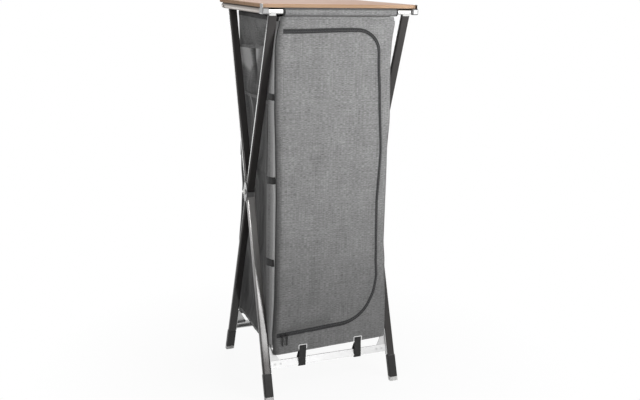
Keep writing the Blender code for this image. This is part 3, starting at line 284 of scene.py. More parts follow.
world = bpy.data.worlds.new("studio")
bpy.context.scene.world = world
world.use_nodes = True
tree = world.node_tree
background = tree.nodes["Background"]
background.inputs["Color"].default_value = (1, 1, 1, 1)
tree.links.new(spread(tree, seen_rays(tree), AMBIENT, 1.0), background.inputs["Strength"])

bpy.ops.mesh.primitive_circle_add(vertices=96, radius=FLOOR_RADIUS, fill_type="NGON", location=FLOOR_PLACE)
floor = bpy.context.object
floor.name = "studio_floor"
paper = bpy.data.materials.new("studio_paper")
floor.data.materials.append(paper)
paper.use_nodes = True
tree = paper.node_tree
tree.nodes.clear()
surface = node(tree, "ShaderNodeBsdfDiffuse", {"Color": (*grey(0.72), 1)})
glow = node(tree, "ShaderNodeEmission")
place = node(tree, "ShaderNodeTexCoord").outputs["Object"]
from_middle = node(tree, "ShaderNodeVectorMath", {0: place}, operation="LENGTH").outputs["Value"]
white = calculate(tree, "MULTIPLY", spread(tree, from_middle, NEAR_WHITE, 1.0, *FADE_RANGE), seen_rays(tree))
mixed = node(tree, "ShaderNodeMixShader", {"Fac": white, 1: surface.outputs[0], 2: glow.outputs[0]})
node(tree, "ShaderNodeOutputMaterial", {"Surface": mixed.outputs[0]})

view = bpy.context.scene.view_settings
view.view_transform = "Standard"
print("world and floor made, ambient", AMBIENT)

# %% [markdown]
# ## Drawn and anodised metal
#
# Aluminium tube is pressed through a die, so fine scratches run along it. A noise that is stretched a
# hundred times along the tube gives those lines; it changes the roughness a little and the colour very
# little. The legs lean, so their pattern is turned by the leaning angle first. Anodised colour is a thin
# dark layer over a mirror, which a dark, partly metallic base with a low roughness shows well: dark from
# the front, bright at a steep angle. The lower front left tube gets a paler colour towards the cross joint,
# blended by height, as a painted reflection of something bright.

# %% Helpers for metal
HUB_HEIGHT = 0.7460
LEG_SPREAD = 0.2536
LEG_ANGLE = math.atan(LEG_SPREAD / HUB_HEIGHT)
LEG_LANE = 0.2600


def crowned(tree, middle, crown):
    """Normals of a flat tube whose broad faces swell by crown metres per square metre beside x = middle."""
    away = calculate(tree, "SUBTRACT", calculate(tree, "ABSOLUTE", own_axes(tree)["X"]), middle)
    height = calculate(tree, "MULTIPLY", calculate(tree, "MULTIPLY", away, away), -crown)
    return node(tree, "ShaderNodeBump", {"Height": height, "Distance": 1.0}).outputs["Normal"]


def drawn_metal(name, colour, roughness, lean=0.0, across="XY", metallic=1.0, scratch=0.10, crown=0, **more):
    """Metal with fine lines along Z, leaned about X, or along X or Y for a level piece."""
    material, tree, shader = finish(name, colour, roughness, metallic, **more)
    scale = {"XY": (620, 620, 7), "YZ": (7, 620, 620), "XZ": (620, 7, 620)}[across]
    grain = own_grain(tree, scale, 3.0, (lean, 0, 0))
    mixed = calculate(tree, "ADD", grain, own_grain(tree, grey(9)))
    rough = spread(tree, mixed, roughness * (1 - scratch * 3), roughness * (1 + scratch * 3), 0.6, 1.4)
    tree.links.new(rough, shader.inputs["Roughness"])
    worn = [min(value * 1.25 + 0.004, 1) for value in colour]
    shade = blend_colours(tree, spread(tree, mixed, 0, 1, 0.7, 1.4), colour, worn)
    tree.links.new(shade, shader.inputs["Base Color"])
    relief = bump(tree, shader, grain, 0.00004)
    if crown:
        tree.links.new(crowned(tree, LEG_LANE, crown), relief.inputs["Normal"])
    return material


def repaint(material, *names):
    """Gives CAD nodes a better finish through their own material slots."""
    for name in names:
        for slot in NODES[name].material_slots:
            slot.material = material


print("the legs lean", round(math.degrees(LEG_ANGLE), 1), "degrees")

# %% [markdown]
# ## The legs and the bright tubes
#
# Each finish is made once and goes into the material slots of the CAD nodes that have it. The legs lean two
# ways, so each left and right pair has its own dark material. The lower front left leg mirrors something
# bright in the photograph, and the material of its pair carries that as a paler tone on the left leg.

# %% Finish the tubes and plates
DARK_TUBE = (0.050, 0.047, 0.046)
PAINTED_REFLECTION_GREY = (0.46, 0.45, 0.44)


def leg_finish(level, end, lean):
    """Dark anodised tube. The lower front left one is shinier, with a painted reflection: paler towards the
    cross joint.
    """
    glossy = (level, end) == ("lower", "front")
    tube = drawn_metal(f"dark_tube_{level}_{end}", DARK_TUBE, 0.17, lean * LEG_ANGLE, crown=1.2,
                       metallic=0.3 if glossy else 0.15, Specular_IOR_Level=1.0 if glossy else 0.25)
    if glossy:
        tree = tube.node_tree
        shader = tree.nodes["Principled BSDF"]
        # Painted reflection: the left leg's colour turns paler towards the cross joint.
        place = own_axes(tree)
        left = spread(tree, place["X"], 1, 0, -0.1, 0.1)
        painted_pale_share = spread(tree, place["Z"], 0, left, 0.28, 0.60)
        paint = shader.inputs["Base Color"]
        tree.links.new(blend_colours(tree, painted_pale_share, paint.links[0].from_socket, PAINTED_REFLECTION_GREY), paint)
        shine = spread(tree, place["Z"], 0.2, spread(tree, left, 0.2, 1.0), 0.13, 0.21)
        tree.links.new(shine, shader.inputs["Specular IOR Level"])
    return tube


for level, leans in (("upper", (1, -1)), ("lower", (-1, 1))):
    for end, lean in zip(("front", "rear"), leans):
        repaint(leg_finish(level, end, lean), *both(f"leg_{level}_{end}"))

polished = drawn_metal("polished_tube", (0.72, 0.72, 0.71), 0.13, across="YZ", scratch=0.08)
repaint(polished, "tube_top_front", "tube_top_rear")
channel = drawn_metal("bright_channel", grey(0.44), 0.40, across="YZ", scratch=0.07)
repaint(channel, "profile_bottom_front", "profile_bottom_rear")
plate = drawn_metal("bracket_plate", grey(0.36), 0.42, scratch=0.08)
repaint(plate, *both("bracket_front"), *both("bracket_rear"))
satin = drawn_metal("satin_rail", (0.26, 0.235, 0.215), 0.48, across="XZ", scratch=0.08, metallic=0.8)
repaint(satin, *both("rail"))
plated = drawn_metal("plated_wire", grey(0.66), 0.12, across="YZ")
repaint(plated, *both("buckle_front"), *both("buckle_rear"))
print("tube and plate finishes:", len(bpy.data.materials))

# %% [markdown]
# ## Cast and moulded parts
#
# The cross joint and the corner fittings are die cast. Such metal has no lines; it has a fine, even grain
# and a softer shine, so a fine noise bumps it. The feet are moulded in two materials: a dark sleeve and a
# pale sole. One material can show both, because the border lies at one height above the ground.

# %% Cast and moulded finishes


def cast_metal(name, colour, roughness):
    """Metal with an even grain and slow patches."""
    material, tree, shader = finish(name, colour, roughness, 1.0)
    patch = own_grain(tree, grey(40), 3.0)
    dark = [value * 0.82 for value in colour]
    shade = blend_colours(tree, spread(tree, patch, 0, 1, 0.35, 0.65), dark, colour)
    tree.links.new(shade, shader.inputs["Base Color"])
    tree.links.new(spread(tree, patch, roughness * 0.8, roughness * 1.2), shader.inputs["Roughness"])
    bump(tree, shader, own_grain(tree, grey(700)), 0.00008)
    return material


def moulded(name, colour, roughness, shine=0.5):
    """Plastic or enamel with a fine grain."""
    material, tree, shader = finish(name, colour, roughness, Specular_IOR_Level=shine)
    bump(tree, shader, own_grain(tree, grey(900)), 0.00006)
    patch = own_grain(tree, grey(60))
    tree.links.new(spread(tree, patch, roughness - 0.08, roughness + 0.08), shader.inputs["Roughness"])
    return material, tree, shader


hub_cast = cast_metal("cast_hub", grey(0.27), 0.34)
repaint(hub_cast, *both("hub_outer_plate"), *both("hub_inner_plate"))
bolt_metal = drawn_metal("turned_bolt", (0.42, 0.42, 0.41), 0.18, across="YZ")
repaint(bolt_metal, *both("hub_bolt"))
corner_cast = cast_metal("cast_corner", grey(0.20), 0.38)
repaint(corner_cast, *both("corner_fitting"))
cap_plastic = moulded("rail_cap_plastic", (0.055, 0.055, 0.056), 0.42)[0]
repaint(cap_plastic, *both("rail_cap"))
enamel = moulded("black_slider_enamel", grey(0.010), 0.28, 0.4)[0]
repaint(enamel, "zip_slider_a", "zip_slider_b", "zip_pull_a", "zip_pull_b")

SOLE_TOP = 0.0145
SOLE_BLUR = 0.0004
BOOT_COLOUR, SOLE_COLOUR = (0.016, 0.015, 0.015), (0.70, 0.70, 0.69)
for end in ("front", "rear"):
    foot, tree, shader = moulded("foot_" + end, BOOT_COLOUR, 0.40, 0.3)
    sole = spread(tree, own_axes(tree)["Z"], 1, 0, SOLE_TOP - SOLE_BLUR, SOLE_TOP + SOLE_BLUR)
    tree.links.new(blend_colours(tree, sole, BOOT_COLOUR, SOLE_COLOUR), shader.inputs["Base Color"])
    repaint(foot, *both(f"foot_{end}"))
print("materials so far:", len(bpy.data.materials))

# %% [markdown]
# ## Wood decor
#
# The worktop is a light board with a printed wood decor, a little pink from above and warmer on its edge
# band. Wood grain is a set of long, slightly wavy lines: a noise that is stretched along the board bends
# the place at which a second, finer noise is read. The surface's own direction tells the faces from the
# edge.

# %% The worktop's finish
wood, tree, shader = finish("pale_wood_decor", (0.70, 0.54, 0.44), 0.75, Specular_IOR_Level=0.03)
along = object_place(tree, (2.2, 34, 34))
slow_place = object_place(tree, (1.4, 5, 5))
drift = node(tree, "ShaderNodeTexNoise", {"Vector": slow_place, "Scale": 1.0, "Detail": 2.0})
bent = node(tree, "ShaderNodeVectorMath", {0: along, 1: drift.outputs["Color"]}, operation="ADD").outputs[0]
rings = grain_at(tree, bent, 6.0, Roughness=0.62)
pores = own_grain(tree, (30, 900, 900))
light = blend_colours(tree, spread(tree, rings, 0, 1, 0.32, 0.68), (0.62, 0.43, 0.34), (0.74, 0.55, 0.46))
grainy = blend_colours(tree, spread(tree, pores, 0, 0.35, 0.60, 0.75), light, (0.50, 0.34, 0.23))
surface = node(tree, "ShaderNodeNewGeometry").outputs["Normal"]
facing = node(tree, "ShaderNodeSeparateXYZ", {"Vector": surface}).outputs["Z"]
on_top = spread(tree, facing, 0, 1, 0.70, 0.75)
below = spread(tree, facing, 1, 0, -0.75, -0.70)
edge = blend_colours(tree, spread(tree, rings, 0, 1, 0.3, 0.7), (0.50, 0.32, 0.20), (0.60, 0.41, 0.28))
banded = blend_colours(tree, on_top, edge, grainy)
tree.links.new(blend_colours(tree, below, banded, (0.32, 0.27, 0.24)), shader.inputs["Base Color"])
bump(tree, shader, pores, 0.00005)
repaint(wood, "worktop_board")
print("worktop finish made")

# %% [markdown]
# ## The grey melange cloth
#
# Melange cloth is woven from threads that are part light and part dark. A noise that is stretched along the
# width makes the short flecks of the weft. Two more, stretched fifty times, are the thicker threads that
# run across the whole panel both ways, and a slow noise adds faint clouds. The pattern reads a UV map in
# metres that each sheet carries, so a fleck has its real size and stays on its thread wherever the cloth
# bends. Where a sheet lies in shade, a second value on its mesh makes the cloth there darker as painted
# shade, and below zero it makes the cloth paler as a painted highlight on folds that stand out.

# %% Cloth finishes
CLOTH_MAP = "cloth_metres"
# A value on each mesh: painted shade above zero, painted highlight below zero.
PAINTED_LIGHT_MAP = "painted_light"


def cloth_place(tree, scale):
    """Places on the cloth in metres, stretched for a pattern."""
    lay = node(tree, "ShaderNodeUVMap", uv_map=CLOTH_MAP)
    return node(tree, "ShaderNodeMapping", {"Vector": lay.outputs[0], "Scale": scale}).outputs[0]


def thread_relief(tree, pitch):
    """Crossing threads: one set of round bands along the width and one along the length."""
    bands = []
    for direction, scale in (("X", (1 / pitch, 0, 0)), ("Y", (0, 1 / pitch, 0))):
        sockets = {"Vector": cloth_place(tree, scale), "Scale": math.pi / 10}
        bands.append(node(tree, "ShaderNodeTexWave", sockets, bands_direction=direction).outputs["Fac"])
    return calculate(tree, "MULTIPLY", *bands)


def melange(name, dark, light, pitch=0.0011):
    """Cloth of flecked threads between two colours, with painted shade and painted highlight from a value on
    its mesh.
    """
    material, tree, shader = finish(name, light, 0.92, Sheen_Weight=0.10, Sheen_Roughness=0.5)
    flecks = 0.0
    for scale, part in (((85, 470, 1), 0.55), ((9, 420, 1), 0.26), ((420, 8, 1), 0.19)):
        threads = calculate(tree, "MULTIPLY", grain_at(tree, cloth_place(tree, scale)), part)
        flecks = calculate(tree, "ADD", flecks, threads)
    shade = blend_colours(tree, spread(tree, flecks, 0, 1, 0.37, 0.63), dark, light)
    slow = grain_at(tree, cloth_place(tree, (16, 9, 1)), 4.0)
    cloudy = blend_colours(tree, spread(tree, slow, 0, 1, 0.3, 0.7), grey(0.9), grey(1.1))
    sockets = {0: 1.0, 6: shade, 7: cloudy}
    product = node(tree, "ShaderNodeMix", sockets, data_type="RGBA", blend_type="MULTIPLY")
    painted_light = node(tree, "ShaderNodeAttribute", attribute_name=PAINTED_LIGHT_MAP).outputs["Fac"]
    # Painted shade: a dark colour where the value is one. Painted highlight: a pale colour where it is minus
    # one.
    painted_shade = [value * 0.13 for value in light]
    painted_highlight = [min(value * 2.0, 0.8) for value in light]
    shaded = blend_colours(tree, spread(tree, painted_light, 0, 1), product.outputs[2], painted_shade)
    painted_pale_share = spread(tree, painted_light, 1, 0, -1, 0)
    tree.links.new(blend_colours(tree, painted_pale_share, shaded, painted_highlight), shader.inputs["Base Color"])
    bump(tree, shader, thread_relief(tree, pitch), 0.00025, 0.8)
    return material


grey_cloth = melange("grey_melange_cloth", grey(0.15), grey(0.41))
# A darker copy of the same grey cloth, as painted shade on the sides, the pockets and the floor board.
painted_shade_cloth = melange("side_melange_cloth_painted_shade", grey(0.13), grey(0.36))
dark_cloth = melange("dark_lining_cloth", grey(0.022), grey(0.050), pitch=0.0009)
band_cloth = melange("dark_band_webbing", grey(0.009), grey(0.022), pitch=0.0012)
binding_cloth = melange("dark_binding_tape", grey(0.020), grey(0.042), pitch=0.0008)
webbing_cloth = melange("ribbed_webbing", grey(0.016), grey(0.034), pitch=0.0016)
zip_cloth = melange("zip_tape_cloth", (0.026, 0.026, 0.027), (0.050, 0.050, 0.052), pitch=0.0007)
thread = finish("grey_thread", grey(0.085), 0.75, Sheen_Weight=0.2)[0]
print("cloth finishes:", [item.name for item in (grey_cloth, painted_shade_cloth, dark_cloth, zip_cloth)])

# %% [markdown]
# ## Working on sheets of cloth
#
# A sewn panel starts as a flat grid. Each crossing is then moved to its place by a small function of u and
# v, which run from 0 to 1 across and up the sheet. That keeps the threads in order, gives the map in
# metres, and lets the same function place the stitches and tapes that lie on the panel. Solidify gives the
# cloth its thickness.

# %% Helpers for sheets


def select_none():
    if bpy.context.mode != "OBJECT":
        bpy.ops.object.mode_set(mode="OBJECT")
    bpy.ops.object.select_all(action="DESELECT")


def select_only(piece):
    select_none()
    piece.select_set(True)
    bpy.context.view_layer.objects.active = piece


def apply_modifier(piece, kind, **settings):
    """Adds one modifier with these settings and applies it."""
    select_only(piece)
    made = piece.modifiers.new(kind.lower(), kind)
    for key, value in settings.items():
        setattr(made, key, value)
    bpy.ops.object.modifier_apply(modifier=made.name)
    return piece


def clamp(value, low=0, high=1):
    return min(max(value, low), high)


def add_sheet(name, columns, rows, place, size, material, flip=False, painted_light=None):
    """A grid of cells whose crossings are moved to place(u, v), with painted shade or highlight from the last
    argument at (u, v).
    """
    select_none()
    bpy.ops.mesh.primitive_grid_add(x_subdivisions=columns, y_subdivisions=rows, size=1, calc_uvs=True)
    piece = bpy.context.object
    piece.name = name
    mesh = piece.data
    lay = mesh.uv_layers.new(name=CLOTH_MAP)
    flat = [(vertex.co.x + 0.5, vertex.co.y + 0.5) for vertex in mesh.vertices]
    for loop in mesh.loops:
        u, v = flat[loop.vertex_index]
        lay.data[loop.index].uv = (u * size[0], v * size[1])
    shares = [(clamp(u), clamp(v)) for u, v in flat]
    for vertex, (u, v) in zip(mesh.vertices, shares):
        vertex.co = place(u, v)
    if painted_light:
        depth = mesh.attributes.new(PAINTED_LIGHT_MAP, "FLOAT", "POINT")
        for index, (u, v) in enumerate(shares):
            depth.data[index].value = clamp(painted_light(u, v), -1, 1)
    if flip:
        mesh.flip_normals()
    mesh.materials.append(material)
    return piece


def smooth(piece, angle=60):
    select_only(piece)
    bpy.ops.object.shade_smooth_by_angle(angle=math.radians(angle))
    return piece


def thicken(piece, thickness, offset=-1):
    """Gives the cloth its thickness behind its face, or on both sides where offset is 0."""
    apply_modifier(piece, "SOLIDIFY", thickness=thickness, offset=offset, use_even_offset=True)
    return smooth(piece)


print("sheet helpers ready")

# %% [markdown]
# ## Shaping cloth with numbers
#
# Folds are sums of simple functions of a place. One gives a slow rise, one reads a table, two give a line
# or a ridge with soft sides, and one gives the uneven rest. Folds that are functions come out the same
# every time the file runs, and a tape or a stitch that lies on a panel asks for the same folds.

# %% Helpers for folds


def ease(value, start, end):
    """Rises softly from 0 at start to 1 at end."""
    part = clamp((value - start) / (end - start))
    return part * part * (3 - 2 * part)


def between(table, value):
    """Reads a table of (place, amount) pairs with soft steps between them."""
    for (low, first), (high, second) in zip(table, table[1:]):
        if value <= high:
            part = clamp((value - low) / (high - low))
            part = part * part * (3 - 2 * part) * 0.5 + part * 0.5
            return first + (second - first) * part
    return table[-1][1]


def wander(x, y, wide, high, seed):
    """Soft noise from -1 to 1, with its own width and height in metres."""
    return noise.noise(Vector((x / wide, y / high, seed * 7.31)))


def bell(away, width):
    """One in the middle, falling off to zero at a few widths beside it."""
    return math.exp(-((away / width) ** 2))


def crease(x, y, start, end, width):
    """One on the line from start to end, falling off to zero at a few widths beside it."""
    ax, ay = start
    bx, by = end
    length = (bx - ax) ** 2 + (by - ay) ** 2
    part = clamp(((x - ax) * (bx - ax) + (y - ay) * (by - ay)) / length)
    return bell(math.hypot(x - ax - part * (bx - ax), y - ay - part * (by - ay)), width)


print("fold helpers ready")

# %% [markdown]
# ## Where the front cloth runs
#
# The CAD front is the even mean of the real one. The real cloth is pulled to the left higher up, its right
# edge waves, and the zip's lower run climbs a little to the right. The tables below hold those edges in
# metres, and two functions turn a place on the even front into its place on the real one, for the panel,
# the door and the zip alike.

# %% The front's shape
HUB_Y = -0.0080
HEM_HEIGHT = 0.1650
CABINET_TOP = 1.4270
HALF_WIDTH = 0.2335
WAIST = 0.0090
HEM_DEPTH = 0.2149
TOP_DEPTH = 0.2371
TILT = math.atan((TOP_DEPTH - HEM_DEPTH) / (CABINET_TOP - HEM_HEIGHT))
LEG_LIMIT = 0.2438
DOOR_LEFT, DOOR_RIGHT = -0.2205, 0.1750
DOOR_TOP, DOOR_BOTTOM = 1.3780, 0.2395
TOP_RADIUS, BOTTOM_RADIUS = 0.1000, 0.1300
TOP_CENTRE = (DOOR_RIGHT - TOP_RADIUS, DOOR_TOP - TOP_RADIUS)
BOTTOM_CENTRE = (DOOR_RIGHT - BOTTOM_RADIUS, DOOR_BOTTOM + BOTTOM_RADIUS)
BUCKLE_X = 0.115

LEFT_EDGE = [(0.165, -0.2295), (0.20, -0.2325), (0.24, -0.2341), (0.30, -0.2310), (0.38, -0.2286),
             (0.61, -0.2291), (0.76, -0.2300), (0.84, -0.2327), (0.95, -0.2362), (1.10, -0.2430),
             (1.22, -0.2444), (1.31, -0.2460), (1.345, -0.2436), (1.373, -0.2394), (1.40, -0.2326),
             (1.427, -0.2290)]
RIGHT_EDGE = [(0.165, 0.2330), (0.30, 0.2285), (0.49, 0.2190), (0.57, 0.2110), (0.81, 0.2100), (0.93, 0.2080),
              (1.04, 0.2135), (1.25, 0.2060), (1.335, 0.2080), (1.405, 0.2165), (1.427, 0.2140)]
ZIP_SHIFT = [(0.245, 0.0), (0.315, -0.002), (0.42, 0.012), (0.49, 0.006), (0.73, -0.001), (0.92, 0.007),
             (1.12, -0.007), (1.28, -0.018), (1.36, -0.010), (1.40, -0.006)]


def even_half_width(z):
    part = clamp((z - HEM_HEIGHT) / (CABINET_TOP - HEM_HEIGHT))
    return HALF_WIDTH - WAIST * math.sin(math.pi * part) ** 2


def real_front(x, z):
    """Moves a place on the even front to the real, slightly crooked one."""
    zip_at = DOOR_RIGHT + between(ZIP_SHIFT, z)
    if x < DOOR_LEFT:
        part = (x + even_half_width(z)) / (DOOR_LEFT + even_half_width(z))
        new_x = between(LEFT_EDGE, z) * (1 - part) + DOOR_LEFT * part
    elif x < DOOR_RIGHT:
        part = ease(x, DOOR_LEFT + 0.05, DOOR_RIGHT)
        new_x = x + (zip_at - DOOR_RIGHT) * part
    else:
        part = (x - DOOR_RIGHT) / (even_half_width(z) - DOOR_RIGHT)
        new_x = zip_at * (1 - part) + between(RIGHT_EDGE, z) * part
    low = 1 - ease(z, 0.30, 0.62)
    hem = (x + 0.230) * 0.0304 - 0.007
    run = (x + 0.190) * 0.0560
    toward_zip = ease(z, HEM_HEIGHT, DOOR_BOTTOM)
    high = ease(z, 1.22, 1.36) * (1 - ease(z, 1.38, 1.42))
    lift = low * (hem * (1 - toward_zip) + run * toward_zip) - 0.005 * high * (1 - ease(x, -0.22, 0.07))
    return new_x, z + lift


def panel_point(end, x, stand, z):
    """A place on the leaning front or rear panel, standing out from its middle by stand."""
    up = z - HEM_HEIGHT
    out = HEM_DEPTH + stand * math.cos(TILT) + up * math.sin(TILT)
    return Vector((x, HUB_Y + end * out, HEM_HEIGHT + up * math.cos(TILT) - stand * math.sin(TILT)))


print("front leans", round(math.degrees(TILT), 2), "degrees")

# %% [markdown]
# ## The front's folds
#
# The cloth is held by its zip and its seams and is loose between them. So its relief is a sum: wide upright
# folds, small gathers under the zip's upper run, a few creases near the corners, and a roll back towards
# the seams at its edges. The rows of stitches press it in by less than a millimetre.

# %% The front's relief
FACE = 0.0012
DOOR_ROW, EDGE_ROW, PANEL_ROW = 0.0155, 0.0080, 0.0120
HEM_ROW = 0.0115
ROW_WIDTH = 0.0016


def inset(x, z):
    """How far a place on the even front lies inside the door's cut edge, below zero outside it."""
    if x > TOP_CENTRE[0] and z > TOP_CENTRE[1]:
        return TOP_RADIUS - math.hypot(x - TOP_CENTRE[0], z - TOP_CENTRE[1])
    if x > BOTTOM_CENTRE[0] and z < BOTTOM_CENTRE[1]:
        return BOTTOM_RADIUS - math.hypot(x - BOTTOM_CENTRE[0], z - BOTTOM_CENTRE[1])
    return min(DOOR_TOP - z, z - DOOR_BOTTOM, DOOR_RIGHT - x)


def calm_beside(x, z, spot):
    """Zero on a spot where the cloth is held flat, and one away from it."""
    return 1 - math.exp(-(((x - spot[0]) / 0.030) ** 2) - ((z - spot[1]) / 0.026) ** 2)


def front_relief(x, z):
    """How far the front's cloth stands out at a real place: soft folds, gathers and rolled edges."""
    relief = 0.0012 * wander(x, z, 0.060, 0.55, 1) + 0.0008 * wander(x, z, 0.030, 0.30, 2)
    relief += 0.0010 * wander(x, z, 0.16, 0.16, 3) + 0.0004 * wander(x, z, 0.022, 0.06, 9)
    below_zip = 1.362 - z
    if 0 < below_zip < 0.22:
        gathers = wander(x, z, 0.0085, 0.10, 4) + 0.6 * wander(x, z, 0.019, 0.14, 5)
        depth = 0.16 + 0.05 * wander(x, 0, 0.05, 1, 6)
        relief += 0.0012 * gathers * ease(below_zip, 0, 0.012) * (1 - ease(below_zip, 0.02, depth))
    relief += 0.0022 * crease(x, z, (-0.199, 1.355), (-0.217, 1.285), 0.007)
    relief -= 0.0018 * crease(x, z, (-0.190, 1.352), (-0.208, 1.272), 0.006)
    relief += 0.0012 * crease(x, z, (0.150, 1.365), (0.190, 1.300), 0.012)
    relief -= 0.0012 * crease(x, z, (0.188, 1.345), (0.199, 1.265), 0.007)
    for buckle_x in (-BUCKLE_X, BUCKLE_X):
        relief -= 0.0012 * crease(x, z, (buckle_x, 0.165), (buckle_x + 0.015, 0.235), 0.014)
    for spot in ((-0.190, 0.240), (-BUCKLE_X, 0.170), (BUCKLE_X, 0.174)):
        relief *= calm_beside(x, z, spot)
    from_left = x - between(LEFT_EDGE, z)
    from_right = between(RIGHT_EDGE, z) - x
    roll = 0.0092 * max(1 - from_left / 0.021, 0) ** 2.1 + 0.0035 * (1 - ease(from_right, 0, 0.012))
    return FACE + relief - roll


def on_front(x, z, above=0.0):
    """The real place of an even place on the front's face, with its sewn lines pressed in."""
    depth = inset(x, z)
    seam = bell(depth - DOOR_ROW, ROW_WIDTH)
    seam += 0.6 * bell(depth + PANEL_ROW, ROW_WIDTH)
    seam += 0.7 * bell(z - HEM_HEIGHT - HEM_ROW, ROW_WIDTH)
    real_x, real_z = real_front(x, z)
    relief = front_relief(real_x, real_z)
    relief -= bell(depth, 0.008) * 0.5 * (relief - FACE) + 0.0007 * seam
    return panel_point(-1, real_x, relief + above, real_z)


print("relief at mid height:", round(front_relief(0, 0.80) * 1000, 2), "mm")

# %% [markdown]
# ## Painted shade on the front
#
# The cloth in the groove beside the left seam is painted darker as shade, and so is the cloth near the hem
# and along a few folds. The material reads that from a value at each corner of the mesh, which these
# functions work out and write.

# %% Painted shade values


def front_painted_shade(x, z):
    """Painted shade on the front: dark in the groove beside the left seam, a little darker towards the hem
    and along a few folds.
    """
    from_left = x - between(LEFT_EDGE, z)
    groove_shade = 0.78 * max(1 - from_left / 0.024, 0) ** 1.2
    low = 0.30 * (1 - ease(z, 0.28, 0.74)) + 0.22 * crease(x, z, (-0.20, 0.250), (-0.02, 0.270), 0.022)
    fold_shade = 0.07 * crease(x, z, (-0.212, 1.25), (-0.205, 0.35), 0.012)
    fold_shade += 0.06 * crease(x, z, (-0.075, 1.25), (-0.070, 0.35), 0.016)
    return min(groove_shade + low + fold_shade, 0.9)


def set_front_painted_shade(piece):
    """Writes the front's painted shade onto a sheet that lies on it."""
    depth = piece.data.attributes.new(PAINTED_LIGHT_MAP, "FLOAT", "POINT")
    for index, vertex in enumerate(piece.data.vertices):
        depth.data[index].value = front_painted_shade(vertex.co.x, vertex.co.z)


print("dust in the groove:", round(front_painted_shade(-0.234, 0.80), 2))

# %% [markdown]
# ## The front panel
#
# The front is one piece of cloth with a large opening for the door. Its mesh is made of rings: the first
# follows the opening, the last follows the outline, and the rings between are spread evenly. So the cut
# edge under the zip is clean, and every ring can take its share of the folds.

# %% Lines round the opening


def arc_points(centre, radius, start, end, steps):
    angles = [math.radians(start + (end - start) * step / steps) for step in range(steps + 1)]
    return [(centre[0] + radius * math.cos(a), centre[1] + radius * math.sin(a)) for a in angles]


def line_points(start, end, steps):
    return [(start[0] + (end[0] - start[0]) * step / steps, start[1] + (end[1] - start[1]) * step / steps)
            for step in range(steps + 1)]


PATH_SPACING = 0.006


def opening_path(offset):
    """Three sides of the door from its top left corner round to its bottom left, moved outward by offset."""
    top, bottom = TOP_CENTRE, BOTTOM_CENTRE
    right, high, low = DOOR_RIGHT + offset, DOOR_TOP + offset, DOOR_BOTTOM - offset

    def steps(length):
        return int(length / PATH_SPACING)

    runs = [line_points((DOOR_LEFT, high), (top[0], high), steps(top[0] - DOOR_LEFT)),
            arc_points(top, TOP_RADIUS + offset, 90, 0, steps(TOP_RADIUS * 1.57)),
            line_points((right, top[1]), (right, bottom[1]), steps(top[1] - bottom[1])),
            arc_points(bottom, BOTTOM_RADIUS + offset, 0, -90, steps(BOTTOM_RADIUS * 1.57)),
            line_points((bottom[0], low), (DOOR_LEFT, low), steps(bottom[0] - DOOR_LEFT))]
    path = []
    for run in runs:
        path += run[1:] if path else run
    return path


print("places round the opening:", len(opening_path(0)))

# %% [markdown]
# ## Rings from the opening to the outline
#
# Each place on the opening has a partner on the outline, straight outward from it. The rings in between
# share that way evenly, and neighbouring rings are joined by faces with four corners. The faces are made
# one by one, because the two borders differ in shape and every crossing has to follow the folds.

# %% The front panel's rings
CLOTH_THICKNESS = 0.0016
hinge_side = line_points((DOOR_LEFT, DOOR_BOTTOM), (DOOR_LEFT, DOOR_TOP), 190)[1:-1]
inner_loop = opening_path(0) + hinge_side


def outline_share(x, z):
    """The place on the panel's outline that lies straight outward from a place on the opening."""
    middle = ((DOOR_LEFT + DOOR_RIGHT) / 2, (DOOR_TOP + DOOR_BOTTOM) / 2)
    reach_x = (DOOR_RIGHT - DOOR_LEFT) / 2
    reach_z = (DOOR_TOP - DOOR_BOTTOM) / 2
    dx, dz = (x - middle[0]) / reach_x, (z - middle[1]) / reach_z
    grow = 1 / max(abs(dx), abs(dz), 1e-6)
    dx, dz = dx * grow, dz * grow
    new_z = (CABINET_TOP + HEM_HEIGHT) / 2 + dz * (CABINET_TOP - HEM_HEIGHT) / 2
    return dx * even_half_width(new_z), new_z


RINGS = 16
mesh = bpy.data.meshes.new("front_panel_cloth")
shape = bmesh.new()
lay = shape.loops.layers.uv.new(CLOTH_MAP)
rings = []
for ring in range(RINGS + 1):
    share = ring / RINGS
    line = []
    for x, z in inner_loop:
        out_x, out_z = outline_share(x, z)
        line.append(shape.verts.new(on_front(x + (out_x - x) * share, z + (out_z - z) * share)))
    rings.append(line)
for inner, outer in zip(rings, rings[1:]):
    for index in range(len(inner)):
        after = (index + 1) % len(inner)
        face = shape.faces.new((inner[index], outer[index], outer[after], inner[after]))
        for loop in face.loops:
            loop[lay].uv = (loop.vert.co.x + 0.25, loop.vert.co.z)
bmesh.ops.recalc_face_normals(shape, faces=shape.faces)
if sum(face.normal.y for face in shape.faces) > 0:
    bmesh.ops.reverse_faces(shape, faces=shape.faces)
shape.to_mesh(mesh)
shape.free()
front_cloth = bpy.data.objects.new("front_panel_cloth", mesh)
bpy.context.collection.objects.link(front_cloth)
mesh.materials.append(grey_cloth)
set_front_painted_shade(front_cloth)
thicken(front_cloth, CLOTH_THICKNESS)
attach(front_cloth, "front_panel")
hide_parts("cabinet_front")
print("front panel:", len(mesh.polygons), "faces")

# %% [markdown]
# ## The door flap
#
# The door fills the opening and is its own sheet, because it opens along the zip. Its rows follow the round
# corners: the right end of each row lies on the opening's edge, and rows come closer together near the top
# and the bottom, where the edge turns fast. The same relief function shapes it, so it meets the panel under
# the zip.

# %% The door's rows
DOOR_GAP = 0.0006


